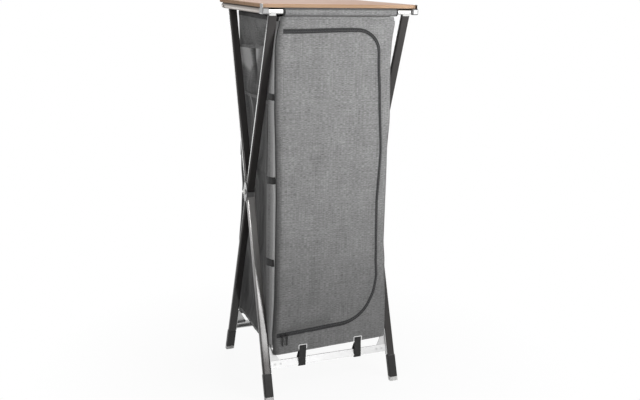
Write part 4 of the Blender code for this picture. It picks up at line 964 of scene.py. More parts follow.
DOOR_EDGE = DOOR_RIGHT - DOOR_GAP
ROWS = arc_points(BOTTOM_CENTRE, BOTTOM_RADIUS - DOOR_GAP, -90, 0, 16)
ROWS += line_points((DOOR_EDGE, BOTTOM_CENTRE[1]), (DOOR_EDGE, TOP_CENTRE[1]), 150)[1:-1]
ROWS += arc_points(TOP_CENTRE, TOP_RADIUS - DOOR_GAP, 0, 90, 24)


def door_place(u, v):
    right, z = ROWS[round(v * (len(ROWS) - 1))]
    return on_front(DOOR_LEFT + DOOR_GAP + (right - DOOR_LEFT - DOOR_GAP) * u, z)


door_cloth = add_sheet("door_flap_cloth", 78, len(ROWS) - 1, door_place, (0.395, 1.133), grey_cloth)
for loop in door_cloth.data.loops:
    spot = door_cloth.data.vertices[loop.vertex_index].co
    door_cloth.data.uv_layers[CLOTH_MAP].data[loop.index].uv = (spot.x + 0.25, spot.z + 1.5)
set_front_painted_shade(door_cloth)
thicken(door_cloth, CLOTH_THICKNESS)
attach(door_cloth, "door")
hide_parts("door")
print("door:", len(door_cloth.data.polygons), "faces")

# %% [markdown]
# ## The zip
#
# A zip has two woven tapes, each with a row of teeth along its inner edge. The tapes here are narrow sheets
# that follow the opening at two distances. One tooth is modelled from a small cube by bevelling it, and its
# faces are then set along the path, a row for each tape, half a step apart, so that they mesh like real
# ones.

# %% Tapes of the zip
ZIP_HALF = 0.0060
TAPE_THICKNESS = 0.0008


TAPE_ABOVE = 0.0001
TAPE_COLUMNS = 3


def path_tape(name, first, last, flare=0.0):
    """A strip along the opening, between two distances from its edge, wider by flare at top and bottom."""
    shares = [column / TAPE_COLUMNS for column in range(TAPE_COLUMNS + 1)]
    lines = [opening_path(first + (last - first) * share) for share in shares]
    steps = len(lines[0]) - 1

    def strip_place(u, v):
        x, z = lines[round(u * TAPE_COLUMNS)][round(v * steps)]
        straight = 1 - ease(x, 0.02, 0.17)
        z += flare * u * straight * (ease(z, 1.20, 1.30) - (1 - ease(z, 0.32, 0.45)))
        return on_front(x, z, TAPE_ABOVE)

    size = (abs(last - first) + 0.4 * flare, 1.82)
    piece = add_sheet(name, TAPE_COLUMNS, steps, strip_place, size, zip_cloth, flip=True)
    return thicken(piece, TAPE_THICKNESS, 1)


panel_tape = path_tape("zip_tape_panel", 0.0002, ZIP_HALF, flare=0.0040)
door_tape = path_tape("zip_tape_door", -ZIP_HALF, -0.0002)
for tape, body, half in ((panel_tape, "front_panel", "zip_panel_half"), (door_tape, "door", "zip_door_half")):
    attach(tape, body)
    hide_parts(half)
print("zip tapes:", len(panel_tape.data.polygons), "faces each")

# %% [markdown]
# ## Copies along a path
#
# Teeth and stitches are both a small form that repeats. It is modelled once, the path is walked in even
# steps, and at each step a copy is turned to lie along the path and on the cloth.

# %% Helpers for small copies
TOOTH_PITCH = 0.0026


def even_steps(points, pitch, start=0.0):
    """Places at even distances along a line of points, each with the direction there."""
    found, wanted, gone = [], start, 0.0
    for first, second in zip(points, points[1:]):
        run = math.dist(first, second)
        while run > 0 and wanted <= gone + run:
            part = (wanted - gone) / run
            spot = [a + (b - a) * part for a, b in zip(first, second)]
            heading = [(b - a) / run for a, b in zip(first, second)]
            found.append((spot, heading))
            wanted += pitch
        gone += run
    return found


def small_form(name, size, rounding):
    """A small block with bevelled edges, as a pattern for copies."""
    select_none()
    bpy.ops.mesh.primitive_cube_add(size=1)
    piece = bpy.context.object
    piece.name = name
    bpy.ops.object.mode_set(mode="EDIT")
    bpy.ops.mesh.select_all(action="SELECT")
    bpy.ops.transform.resize(value=size)
    bpy.ops.mesh.bevel(offset=rounding, segments=1, affect="EDGES")
    bpy.ops.object.mode_set(mode="OBJECT")
    points = [vertex.co.copy() for vertex in piece.data.vertices]
    faces = [tuple(face.vertices) for face in piece.data.polygons]
    bpy.data.objects.remove(piece, do_unlink=True)
    return points, faces


def set_copies(name, form, places, material):
    """One mesh with a copy of a small form at every matrix in places."""
    points, faces = form
    all_points, all_faces = [], []
    for matrix in places:
        base = len(all_points)
        all_points += [matrix @ point for point in points]
        all_faces += [tuple(index + base for index in face) for face in faces]
    made = bpy.data.meshes.new(name)
    made.from_pydata([tuple(point) for point in all_points], [], all_faces)
    made.materials.append(material)
    piece = bpy.data.objects.new(name, made)
    bpy.context.collection.objects.link(piece)
    for face in made.polygons:
        face.use_smooth = True
    return piece


def lying_on_front(x, z, heading, above):
    """A frame on the front's face: its X runs along the heading, its Z stands out."""
    here = on_front(x, z, above)
    ahead = on_front(x + heading[0] * 0.001, z + heading[1] * 0.001, above)
    along = (ahead - here).normalized()
    outward = Vector((0, -math.cos(TILT), -math.sin(TILT)))
    sideways = outward.cross(along).normalized()
    outward = along.cross(sideways)
    matrix = Matrix((along, sideways, outward)).transposed().to_4x4()
    matrix.translation = here
    return matrix


print("helpers for copies ready")

# %% [markdown]
# ## The teeth
#
# The teeth stand in two rows, one for each tape. The row on the door starts half a step later, so that the
# teeth of one row lie between those of the other.

# %% Teeth of the zip
tooth_plastic = moulded("zip_tooth_plastic", (0.045, 0.045, 0.047), 0.33)[0]
tooth = small_form("zip_tooth_form", (0.0015, 0.0030, 0.0012), 0.0004)
for name, side, shift, body in (("zip_teeth_panel", 1, 0.0, "front_panel"),
                                ("zip_teeth_door", -1, 0.5, "door")):
    line = opening_path(side * 0.0010)
    line[0] = (line[0][0] + 0.004, line[0][1])
    places = [lying_on_front(x, z, heading, TAPE_THICKNESS + 0.0005)
              for (x, z), heading in even_steps(line, TOOTH_PITCH, shift * TOOTH_PITCH)]
    teeth = set_copies(name, tooth, places, tooth_plastic)
    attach(teeth, body)
    print(name, len(places))

# %% [markdown]
# ## Stitching
#
# Two rows of stitches run beside the zip on the door and one row on the panel. More rows run along the
# door's hinge side, the hem and the top. A stitch is a short rounded bar that lies half in the cloth. One
# helper sews every row: it takes lines of places on the even front and sets a stitch at each step.

# %% Sew the door and the panel
STITCH = small_form("stitch_form", (0.0030, 0.0007, 0.0007), 0.00028)
STITCH_PITCH = 0.0042
STITCH_ABOVE = 0.0001


def sew_front(name, runs, body):
    """Rows of stitches on the front, along lines of even places."""
    places = []
    for line in runs:
        for (x, z), heading in even_steps(line, STITCH_PITCH):
            places.append(lying_on_front(x, z, heading, STITCH_ABOVE))
    piece = set_copies(name, STITCH, places, thread)
    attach(piece, body)
    print(name, len(places), "stitches")


hinge_row = line_points((-0.2145, 0.262), (-0.2145, 1.360), 8)
sew_front("door_stitches", [opening_path(-DOOR_ROW), opening_path(-EDGE_ROW), hinge_row], "door")
hem_line = line_points((-0.226, HEM_HEIGHT + HEM_ROW), (0.226, HEM_HEIGHT + HEM_ROW), 20)
top_line = line_points((-0.226, CABINET_TOP - 0.010), (0.2075, CABINET_TOP - 0.010), 20)
sew_front("front_panel_stitches", [opening_path(PANEL_ROW), hem_line, top_line], "front_panel")

# %% [markdown]
# ## The side panels
#
# Each side hangs between the legs, so from the front leg backwards it never stands further out than the
# legs' inner faces. The floor and three stiff shelves hold it out, and between them it sinks in. Its front
# margin turns round the corner to a seam on the front, and that round strip catches the light. One function
# gives the side's outer face, and the pockets, bands and bindings lie on it.

# %% The sides' shape
SIDE_BOTTOM, SIDE_TOP = 0.187, 1.4245
SHELF_LINES = (0.195, 0.497, 0.837, 1.135)
REAR_EDGE = [(0.187, 0.2330), (0.30, 0.2305), (0.49, 0.2320), (0.62, 0.2225), (0.72, 0.2185), (0.80, 0.2235),
             (0.88, 0.2245), (0.98, 0.2225), (1.12, 0.2320), (1.25, 0.2290), (1.425, 0.2335)]
CORNER_WIDE = [(0.19, 0.0075), (0.30, 0.0090), (0.45, 0.0105), (0.75, 0.0120), (0.85, 0.0115), (1.00, 0.0095),
               (1.15, 0.0075), (1.27, 0.0060), (1.35, 0.0035), (1.43, 0.0030)]
CORNER_DEEP = 0.0065
SEAM_DEPTH = 0.0092
ROUND_COLUMNS, SIDE_COLUMNS = 10, 104
LEG_HALF_DEPTH = 0.0092


def side_limits(z):
    """The front and rear ends of a side at a height: at the corner seam and at the back panel."""
    up = (z - HEM_HEIGHT) * math.sin(TILT)
    front_y = HUB_Y - HEM_DEPTH - up + SEAM_DEPTH - 0.0012
    return front_y, HUB_Y + HEM_DEPTH + up - 0.0045 + 0.0055 * ease(z, 1.385, 1.415)


def shelf_hold(z):
    """One on a shelf line, where the cloth can't sink in, and zero between the lines."""
    return max(bell(z - line, 0.045) for line in SHELF_LINES)


def leg_front(z):
    """The front face of the leg that crosses in front of the side at a height."""
    return HUB_Y - abs(z - HUB_HEIGHT) * math.tan(LEG_ANGLE) - LEG_HALF_DEPTH


def side_out(side, y, z):
    """How far the side's outer face stands from the middle of the cupboard."""
    front_y, rear_y = side_limits(z)
    from_front, u = max(y - front_y, 0), (y - front_y) / (rear_y - front_y)
    edge = -between(LEFT_EDGE, z) if side < 0 else between(RIGHT_EDGE, z)
    full = 0.2432 if side < 0 else max(edge, 0.2345)
    wide = between(CORNER_WIDE, z) if side < 0 else min(0.0030, full - edge)
    corner = wide * math.sqrt(max(1 - max(1 - from_front / CORNER_DEEP, 0) ** 2, 0))
    reach = max(min(leg_front(z) - front_y - 0.006, 0.078), 0.020) if side < 0 else 0.090
    growth = ease(from_front, 0.003, reach) if side < 0 else min(from_front / reach, 1)
    out = edge + corner + (full - edge - wide) * growth
    if side < 0:
        swell = ease(from_front, 0.003, 0.040) * (1 - ease(from_front, 0.60 * reach, reach))
        out += 0.0055 * swell * ease(reach, 0.03, 0.07)
    out += (between(REAR_EDGE, z) - out) * ease(u, 0.35, 1.0)
    hem = 1 - ease(z, SIDE_BOTTOM, SIDE_BOTTOM + 0.10)
    top = ease(z, SIDE_TOP - 0.075, SIDE_TOP)
    sink = 0.0165 * (1 - 0.75 * shelf_hold(z)) * (1 - top) * (1 - 0.6 * hem)
    out -= sink * ease(u, 0.16, 0.36) * (1 - ease(u, 0.80, 1.0))
    loose = ease(u, 0.05, 0.20) * (1 - ease(u, 0.88, 1.0)) * (1 - 0.7 * top)
    out -= loose * 0.0040 * (0.5 + 0.5 * wander(y, z, 0.030, 0.30, 11 + side))
    out -= loose * 0.0020 * (0.5 + 0.5 * wander(y + 0.25 * z, z, 0.016, 0.14, 14 + side))
    if side < 0:
        out -= 0.0060 * crease(y, z, (0.019, 1.405), (0.040, 1.318), 0.009)
        out -= 0.0065 * crease(y, z, (-0.110, 1.385), (0.035, 1.318), 0.012)
        out += 0.0034 * crease(y, z, (0.060, 1.400), (0.070, 1.320), 0.014)
        out += 0.0022 * crease(y, z, (0.006, 1.400), (0.024, 1.330), 0.006)
        pocket_height = ease(z, 0.86, 0.92) * (1 - ease(z, 1.29, 1.36))
        out -= 0.0105 * pocket_height * ease(u, 0.30, 0.42) * (1 - ease(u, 0.9, 1))
    near_leg = ease(y, leg_front(z) - 0.016, leg_front(z) - 0.003)
    return min(out, LEG_LIMIT - 0.0006 + 0.013 * (1 - near_leg))


print("shelf lines at", SHELF_LINES)

# %% [markdown]
# ## Places on the sides
#
# The corner is tight, so the columns of the sheet stand close there and evenly behind it. On the left side,
# cloth in the lower half and behind the corner strip gets painted shade, and the strip beside the corner gets
# a painted highlight, again through a value on the mesh.

# %% Columns and shade of the sides


def side_y(u, z):
    """Where column u of a side lies: close steps round the corner, then even ones to the back."""
    front_y, rear_y = side_limits(z)
    first = ROUND_COLUMNS / SIDE_COLUMNS
    if u < first:
        return front_y + CORNER_DEEP * (1 - math.cos(u / first * math.pi / 2))
    return front_y + CORNER_DEEP + (rear_y - front_y - CORNER_DEEP) * (u - first) / (1 - first)


def side_point(side, u, z):
    y = side_y(u, z)
    return Vector((side * side_out(side, y, z), y, z))


def on_side(side, y, z, above=0.0):
    return Vector((side * (side_out(side, y, z) + above), y, z))


def side_painted_light(y, z):
    """Painted shade on the left side: behind the bright corner strip, all over its lower half and above the
    pocket, with a painted highlight on the strip.
    """
    from_front = y - side_limits(z)[0]
    low = 1 - ease(z, 0.74, 0.98)
    upper_half = ease(z, 0.45, 0.75)
    shade_behind_strip = ease(from_front, 0.014 + 0.024 * upper_half, 0.080 + 0.030 * upper_half)
    # The strip beside the corner gets a painted highlight, a crease gets painted shade, and a noise gives the
    # cloth an uneven tone.
    painted_highlight = 0.45 * (1 - ease(from_front, 0.010, 0.030))
    crease_shade = 0.18 * crease(y, z, (-0.160, 0.86), (-0.105, 0.60), 0.012) + 0.25 * wander(y, z, 0.030, 0.30, 12)
    above_pocket = ease(z, 1.31, 1.345) * (1 - ease(z, 1.36, 1.40))
    upper = 0.35 * ease(y, -0.16, -0.13) * above_pocket * (1 - ease(y, 0.0, 0.05))
    return shade_behind_strip * (0.24 + 0.72 * low + crease_shade) * (1 - 0.8 * ease(z, 1.20, 1.32)) + upper - painted_highlight


print("the left side stands out", round(side_out(-1, 0, SHELF_LINES[1]), 4), "at shelf 1")

# %% [markdown]
# ## Hanging the sides
#
# One loop makes both sides. Cloth can't turn about the hub as the legs do; both sides ride the root body.

# %% Hang the two sides
SIDES = ((-1, "left"), (1, "right"))
PANEL_THICKNESS = 0.0014


def side_height(v):
    return SIDE_BOTTOM + (SIDE_TOP - SIDE_BOTTOM) * v


# Painted shade and painted highlight of the left side, at a place on its sheet.
def side_panel_painted_light(u, v):
    z = side_height(v)
    return side_painted_light(side_y(u, z), z)


for side, word in SIDES:
    def side_place(u, v, side=side):
        return side_point(side, u, side_height(v))

    panel = add_sheet(f"side_panel_{word}", SIDE_COLUMNS, 220, side_place, (0.445, 1.240), painted_shade_cloth,
                      flip=side < 0, painted_light=side_panel_painted_light if side < 0 else None)
    thicken(panel, PANEL_THICKNESS)
    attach(panel, "root")
    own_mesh(panel)
    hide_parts(f"cabinet_side_{word}")
    print(panel.name, len(panel.data.polygons), "faces")

# %% [markdown]
# ## Bands, bindings and corner piping
#
# Short dark bands at the front corners show where the shelves are sewn in. A dark binding runs along each
# side's top edge. The corner seams lie in a groove. The left one gets a thin dark roll, which paints the
# groove's shade as a dark line beside the round corner; the right one is bound in grey. The bands and
# bindings are narrow strips laid a fraction of a millimetre above the panel.

# %% Lay the bands and bindings
STRIP_THICKNESS, STRIP_ABOVE = 0.0012, 0.0004
# Each band: its lower and upper edge, how far those reach back, and how much it drops towards the back.
BANDS = [(0.509, 0.5365, 0.064, 0.082, -0.010), (0.824, 0.8505, 0.074, 0.082, -0.014),
         (1.130, 1.154, 0.070, 0.074, -0.004)]


def side_strip(name, side, corners, columns, rows, material):
    """A strip on a side panel between four corners, given as (y, z) from bottom front round to top front."""
    (ay, az), (by, bz), (cy, cz), (dy, dz) = corners

    def strip_place(u, v):
        low = (ay + (by - ay) * u, az + (bz - az) * u)
        high = (dy + (cy - dy) * u, dz + (cz - dz) * u)
        y, z = low[0] + (high[0] - low[0]) * v, low[1] + (high[1] - low[1]) * v
        if ay < side_limits(z)[0] + 0.002:
            y = ay + (y - ay) * (1 - math.cos(min(u, 0.3) / 0.3 * math.pi / 2)) if u < 0.3 else y
        return on_side(side, y, z, STRIP_ABOVE)

    size = (abs(by - ay), abs(dz - az))
    strip = add_sheet(name, columns, rows, strip_place, size, material, flip=side < 0)
    thicken(strip, STRIP_THICKNESS, -0.4)
    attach(strip, "root")
    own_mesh(strip)
    return strip


def level_corners(front_y, rear_y, low, high):
    return [(front_y, low), (rear_y, low), (rear_y, high), (front_y, high)]


for side, word in SIDES:
    for index, (z, sizes) in enumerate(zip(SHELF_LINES[1:], BANDS)):
        low, high, lower_reach, upper_reach, drop = sizes
        front_y = side_limits(z)[0] + 0.00002
        corners = [(front_y, low), (front_y + lower_reach, low + drop),
                   (front_y + upper_reach, high + drop), (front_y, high)]
        band = side_strip(f"shelf_band_{word}_{index + 1}", side, corners, 44, 6, band_cloth)
    front_y, rear_y = side_limits(SIDE_TOP)
    corners = level_corners(front_y + 0.004, rear_y - 0.001, SIDE_TOP - 0.015, SIDE_TOP)
    binding = side_strip(f"top_binding_{word}", side, corners, 60, 4, binding_cloth)
    corners = level_corners(front_y + 0.024, rear_y - 0.023, SIDE_BOTTOM, SIDE_BOTTOM + 0.012)
    hem = side_strip(f"side_hem_{word}", side, corners, 60, 3, painted_shade_cloth)
print("bands and bindings laid")

# %% [markdown]
# ## Corner piping
#
# A seam that turns a corner is often covered with a thin round roll. A curve with a round bevel gives that
# in one step, and it is then made a mesh, so that it can carry the cloth's map in metres.

# %% Roll the corner seams


def tube_along(name, points, radius, material):
    """A thin round roll along a line of points: a bevelled curve made a mesh."""
    select_none()
    curve = bpy.data.curves.new(name, "CURVE")
    curve.dimensions = "3D"
    curve.bevel_depth = radius
    curve.bevel_resolution = 4
    curve.use_fill_caps = True
    line = curve.splines.new("POLY")
    line.points.add(len(points) - 1)
    for spot, point in zip(line.points, points):
        spot.co = (*point, 1)
    roll = bpy.data.objects.new(name, curve)
    bpy.context.collection.objects.link(roll)
    select_only(roll)
    bpy.ops.object.convert(target="MESH")
    roll = bpy.context.object
    lay = roll.data.uv_layers.new(name=CLOTH_MAP)
    for loop in roll.data.loops:
        spot = roll.data.vertices[loop.vertex_index].co
        lay.data[loop.index].uv = (spot.x + spot.y, spot.z)
    roll.data.materials.append(material)
    return smooth(roll)


PIPING_LOW, PIPING_HIGH = 0.200, 1.412
heights = [PIPING_LOW + (PIPING_HIGH - PIPING_LOW) * step / 130 for step in range(131)]
for side, word in SIDES:
    edge = LEFT_EDGE if side < 0 else RIGHT_EDGE
    roll_back = SEAM_DEPTH - 0.0012 if side < 0 else 0.0038
    line = [panel_point(-1, between(edge, z) + side * 0.0006, FACE - roll_back, z) for z in heights]
    # The left roll's dark cloth is painted shade of the seam's groove; the right roll is grey.
    cloth = binding_cloth if side < 0 else grey_cloth
    piping = tube_along(f"corner_piping_{word}", line, 0.0019 if side < 0 else 0.0012, cloth)
    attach(piping, "front_panel")
    print(piping.name, len(piping.data.polygons), "faces")

# %% [markdown]
# ## The side pockets
#
# The left side carries a large open pocket, and a smaller one in front of its lower half. The large one's
# mouth is pushed in at the middle, so two folds fan out upwards from one point, as light flaps on both
# sides of a dark hollow. The fan is made from the direction of each place as seen from that point: every
# direction has its own height, and the height grows with the distance.

# %% The pockets' shape
POCKET_TOP, LOWER_POCKET_TOP, POCKET_BOTTOM = 1.298, 1.112, 0.845
POCKET_THICKNESS = 0.0012
POINT_Y, POINT_Z = 0.024, 1.150
FAN = [(-90, 0.0), (-25, 0.0), (10, 0.42), (34, 1.0), (37, 1.06), (44, 0.92), (51, 1.0), (54, 1.04),
       (57, -0.55), (62, -0.80), (84, -0.95), (88.5, 0.78), (91, 1.0), (112, 0.66), (142, 0.05), (180, 0.0),
       (270, 0.0)]


def pocket_fan(y, z):
    """How far the upper pocket stands out, as a share of its deepest fold."""
    turn = math.degrees(math.atan2(z - POINT_Z, y - POINT_Y))
    turn = turn + 360 if turn < -90 else turn
    return between(FAN, turn) * ease(math.hypot(y - POINT_Y, z - POINT_Z), 0.004, 0.130)


def pocket_y(u, z):
    """Where column u of a pocket lies, from the rear edge to its front end behind the leg."""
    front_y, rear_y = side_limits(z)
    return rear_y - 0.0015 - (rear_y - front_y - 0.0735) * u


def upper_pocket_place(u, v):
    top = POCKET_TOP + 0.010 * ease(u, 0.30, 0.62)
    z = POCKET_BOTTOM + (top - POCKET_BOTTOM) * v
    y = pocket_y(u, z)
    rise = ease(z, POCKET_BOTTOM, 1.12)
    out = side_out(-1, y, z) + 0.0016 + 0.0068 * rise * ease(u, 0, 0.06) * (1 - ease(u, 0.86, 1))
    out += 0.0115 * pocket_fan(y, z) * (1 - ease(u, 0.88, 0.99))
    out += 0.0012 * rise * wander(y, z, 0.022, 0.16, 31)
    return Vector((-min(out, LEG_LIMIT), y, z))


def lower_pocket_place(u, v):
    top = LOWER_POCKET_TOP + 0.008 * ease(u, 0.25, 0.65) + 0.002 * wander(u, 0, 0.15, 1, 33)
    z = POCKET_BOTTOM + (top - POCKET_BOTTOM) * v
    y = pocket_y(u, z)
    rise = ease(z, POCKET_BOTTOM, POCKET_BOTTOM + 0.10)
    rear_fold = ease(0.148 - y, 0, 0.016) * ease(z, 0.92, 1.06)
    out = side_out(-1, y, z) + 0.0034 + 0.0060 * rise * ease(u, 0, 0.08) * (1 - ease(u, 0.80, 0.98))
    out += 0.0052 * rear_fold * (1 - ease(u, 0.70, 0.95))
    out += 0.0022 * rise * wander(y, z, 0.035, 0.30, 34) + 0.0012 * rise * wander(y, z, 0.015, 0.14, 35)
    return Vector((-min(out, LEG_LIMIT), y, z))


print("pocket mouths at", POCKET_TOP, "and", LOWER_POCKET_TOP)

# %% [markdown]
# ## Hanging the pockets
#
# Cloth that stands out gets a painted highlight and the hollow between two folds gets painted shade, so each
# pocket has its own function for both; the lower pocket gets painted shade all over, with a highlight on its
# lip.
# Both pockets are sheets like the side that they hang on, and neither stands out past the legs' inner faces.

# %% Hang the pockets


# Painted shade round the fan's point and in the hollow, and a painted highlight on the standing folds.
def upper_pocket_painted_light(u, v):
    spot = upper_pocket_place(u, v)
    fan = pocket_fan(spot.y, spot.z)
    shade = 0.80 * ease(0.62 - fan, 0, 0.75) * ease(spot.z, POINT_Z - 0.03, POINT_Z + 0.03)
    painted_highlight = 0.85 * ease(fan, 0.62, 0.92) * ease(spot.z, POINT_Z + 0.02, POINT_Z + 0.07)
    shade *= 1 - 0.45 * ease(u, 0.60, 0.80)
    return max(shade, 0.62 * (1 - ease(spot.z, POINT_Z - 0.02, POINT_Z + 0.05))) - painted_highlight


# Painted shade all over the lower pocket, with a painted highlight on its lip.
def lower_pocket_painted_light(u, v):
    spot = lower_pocket_place(u, v)
    from_rear = 0.112 - spot.y
    lip_highlight = ease(spot.z, 1.0, 1.08) * ease(from_rear, 0, 0.006) * (1 - ease(from_rear, 0.010, 0.040))
    return 0.66 + 0.25 * wander(spot.y, spot.z, 0.030, 0.25, 36) - 1.2 * lip_highlight


POCKETS = (("upper", upper_pocket_place, 0.453, upper_pocket_painted_light),
           ("lower", lower_pocket_place, 0.267, lower_pocket_painted_light))
for word, place, height, painted_light in POCKETS:
    pocket = add_sheet(f"pocket_{word}_cloth", 110, 100, place, (0.375, height), painted_shade_cloth, painted_light=painted_light)
    thicken(pocket, POCKET_THICKNESS)
    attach(pocket, "root")
    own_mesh(pocket)
    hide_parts("side_pockets_left")
    print(pocket.name, len(pocket.data.polygons), "faces")

# %% [markdown]
# ## Pocket hems
#
# The upper edge of a pocket is turned over and sewn, so it is thicker there. A second, narrow sheet that
# follows the same shape gives that edge.

# %% Hem the pockets' mouths
HEM_WIDTH = 0.012
for word, place, height, _ in POCKETS:
    def hem_place(u, v, place=place, height=height):
        spot = place(u, 1 - (1 - v) * HEM_WIDTH / height)
        return Vector((max(spot.x - 0.0003, -LEG_LIMIT), spot.y, spot.z + 0.0003 * v))

    hem = add_sheet(f"pocket_{word}_hem", 110, 4, hem_place, (0.445, HEM_WIDTH), painted_shade_cloth)
    thicken(hem, POCKET_THICKNESS, 0)
    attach(hem, "root")
    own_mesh(hem)
print("pocket hems laid")

# %% [markdown]
# ## The back panel
#
# The photograph doesn't show the back. It is made like the front without a door: one stretched panel with
# soft upright folds, pressed in along its sewn hems and calm where the buckles hold it.

# %% Hang the back panel


def back_place(u, v):
    z = HEM_HEIGHT + (CABINET_TOP - HEM_HEIGHT) * v
    right = between(REAR_EDGE, z)
    left = -right
    x = left + (right - left) * u
    edge = min(x - left, right - x)
    relief = 0.0016 * wander(x, z, 0.070, 0.60, 41) + 0.0009 * wander(x, z, 0.030, 0.25, 42)
    relief += 0.0008 * wander(x, z, 0.15, 0.15, 43)
    relief -= 0.0006 * bell(z - HEM_HEIGHT - HEM_ROW, ROW_WIDTH)
    relief -= 0.0006 * bell(edge - 0.010, 0.0018)
    for buckle_x in (-BUCKLE_X, BUCKLE_X):
        relief *= calm_beside(x, z, (buckle_x, 0.172))
    relief *= ease(edge, 0, 0.02)
    roll = 0.0040 * (1 - ease(edge, 0, 0.012))
    return panel_point(1, x, FACE + relief - roll, z)


back_panel = add_sheet("back_panel_cloth", 96, 220, back_place, (0.460, 1.262), grey_cloth, flip=True)
thicken(back_panel, PANEL_THICKNESS)
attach(back_panel, "rear_panel")
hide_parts("cabinet_back")
print("back panel:", len(back_panel.data.polygons), "faces")

# %% [markdown]
# ## The floor and the shelves
#
# Four stiff boards keep the cupboard square: the floor in grey cloth and three shelves in dark cloth. Each
# is a sheet whose edge follows the sides and stays a few millimetres inside them, with a bevel that rounds
# its rim.

# %% Lay the floor and the shelves


BOARD_THICKNESS = 0.005
BOARD_GAP = 0.0045
RIM_ANGLE = 50


def shelf_board(name, z, material, node_name):
    limits = side_limits(z)
    front_y, rear_y = limits[0] + 0.0075, limits[1] - 0.0080

    def board_place(u, v):
        y = front_y + (rear_y - front_y) * v
        left = -side_out(-1, y, z) + BOARD_GAP
        right = side_out(1, y, z) - BOARD_GAP
        rim = min(u, 1 - u, v, 1 - v)
        rise = 0.0009 * wander(u * 0.5, v * 0.5, 0.08, 0.08, 50 + z) * ease(rim, 0, 0.1)
        return Vector((left + (right - left) * u, y, z + BOARD_THICKNESS / 2 + rise))

    board = add_sheet(name, 40, 36, board_place, (0.455, 0.430), material)
    apply_modifier(board, "SOLIDIFY", thickness=BOARD_THICKNESS, offset=-1)
    apply_modifier(board, "BEVEL", width=0.0016, segments=2, limit_method="ANGLE",
                   angle_limit=math.radians(RIM_ANGLE))
    smooth(board, RIM_ANGLE)
    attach(board, "root")
    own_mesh(board)
    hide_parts(node_name)
    return board


board_names = [("floor_board", "cabinet_floor")]
board_names += [(f"shelf_board_{number}", f"shelf_{number}") for number in (1, 2, 3)]
for z, (name, node_name) in zip(SHELF_LINES, board_names):
    board = shelf_board(name, z, painted_shade_cloth if name == "floor_board" else dark_cloth, node_name)
    print(name, len(board.data.polygons), "faces")

# %% [markdown]
# ## The sleeves
#
# Each top tube runs through a sewn sleeve: one strip of cloth goes over the tube and its two edges meet in
# a seam below, where the panel hangs from it. The strip is a sheet bent round a drop-shaped path. It is
# rumpled a little along its length, and short dark bindings close its ends.

# %% The sleeves' shape
ENDS = ((-1, "front"), (1, "rear"))
TUBE_HEIGHT, TUBE_Y = 1.4435, 0.2371
SLEEVE_HALF = 0.2235
SLEEVE_RADIUS = 0.0119
SLEEVE_TAIL = 0.0145
SEAM_HALF = 0.0010
CUFF_WIDTH = 0.0095


def drop_point(part, radius):
    """A place on the drop: part runs from the seam in front, over the top, to the seam behind."""
    meet = math.acos(radius / SLEEVE_TAIL)
    straight = SLEEVE_TAIL * math.sin(meet)
    round_length = radius * 2 * (math.pi - meet)
    along = part * (2 * straight + round_length)
    if straight <= along <= straight + round_length:
        turn = meet + (along - straight) / radius
        return -math.sin(turn) * radius, -math.cos(turn) * radius
    behind = along > straight
    share = (2 * straight + round_length - along if behind else along) / straight
    out = math.sin(meet) * radius * share + SEAM_HALF * (1 - share)
    return out if behind else -out, -SLEEVE_TAIL + (SLEEVE_TAIL - math.cos(meet) * radius) * share


def sleeve_rumple(x, part):
    near_end = 1 - ease(SLEEVE_HALF - abs(x), 0.0, 0.05)
    rumple = 0.0005 * wander(x, part, 0.030, 0.30, 61)
    rumple += 0.0003 * wander(x + 0.02 * part, part, 0.009, 0.5, 62)
    return rumple + 0.0005 * near_end * wander(x + 0.03 * part, part, 0.006, 0.6, 63)


print("drop's lowest place:", round(drop_point(0, SLEEVE_RADIUS)[1], 4))

# %% [markdown]
# ## Wrapping the sleeves
#
# Both sleeves and the bindings at their ends are bent round the same drop. A sleeve gets painted shade on
# top, just under the board, and again at the seam below. It rides the upper frame on its end of the cupboard,
# since the tube inside it does.

# %% Wrap the sleeves


# Painted shade on top of the sleeve, just under the board, and at the seam below.
def sleeve_painted_shade(u, v):
    z = drop_point(v, SLEEVE_RADIUS)[1]
    return 0.85 * ease(z, 0.0045, 0.0085) + 0.45 * (1 - ease(z, -0.0115, -0.0070))


for end, word in ENDS:
    def sleeve_place(u, v, end=end):
        x = (2 * u - 1) * (SLEEVE_HALF - 0.007)
        y, z = drop_point(v, SLEEVE_RADIUS + sleeve_rumple(x, v))
        sag = 0.0010 * (1 - math.cos(2 * math.pi * u)) / 2 if v < 0.2 or v > 0.8 else 0
        return Vector((x, HUB_Y + end * TUBE_Y - end * y, TUBE_HEIGHT + z - sag * 0.3))

    sleeve = add_sheet(f"top_sleeve_{word}", 180, 44, sleeve_place, (0.433, 0.081), grey_cloth, flip=end < 0,
                       painted_light=sleeve_painted_shade)
    thicken(sleeve, 0.0010)
    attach(sleeve, f"upper_{word}_frame")
    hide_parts(f"sleeve_{word}")
    for side, side_word in SIDES:
        def cuff_place(u, v, end=end, side=side):
            x = side * (SLEEVE_HALF - CUFF_WIDTH * (1 - u))
            y, z = drop_point(v, SLEEVE_RADIUS + 0.0004 - 0.0009 * ease(u, 0.75, 1))
            return Vector((x, HUB_Y + end * TUBE_Y - end * y, TUBE_HEIGHT + z))

        cuff = add_sheet(f"sleeve_cuff_{word}_{side_word}", 4, 40, cuff_place, (CUFF_WIDTH, 0.081),
                         binding_cloth, flip=end * side > 0)
        thicken(cuff, 0.0012)
        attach(cuff, f"upper_{word}_frame")
    print(sleeve.name, len(sleeve.data.polygons), "faces")

# %% [markdown]
# ## Straps at the hem
#
# Ribbed webbing is sewn to the inside of the hem, comes out behind the buckle's upper bar, goes over its
# lower bar, and loops round the bottom profile. A ribbon is built along that path in the side view. Its
# ribs are real: fine grooves across the webbing, made by moving every other row of the ribbon a tenth of a
# millimetre.

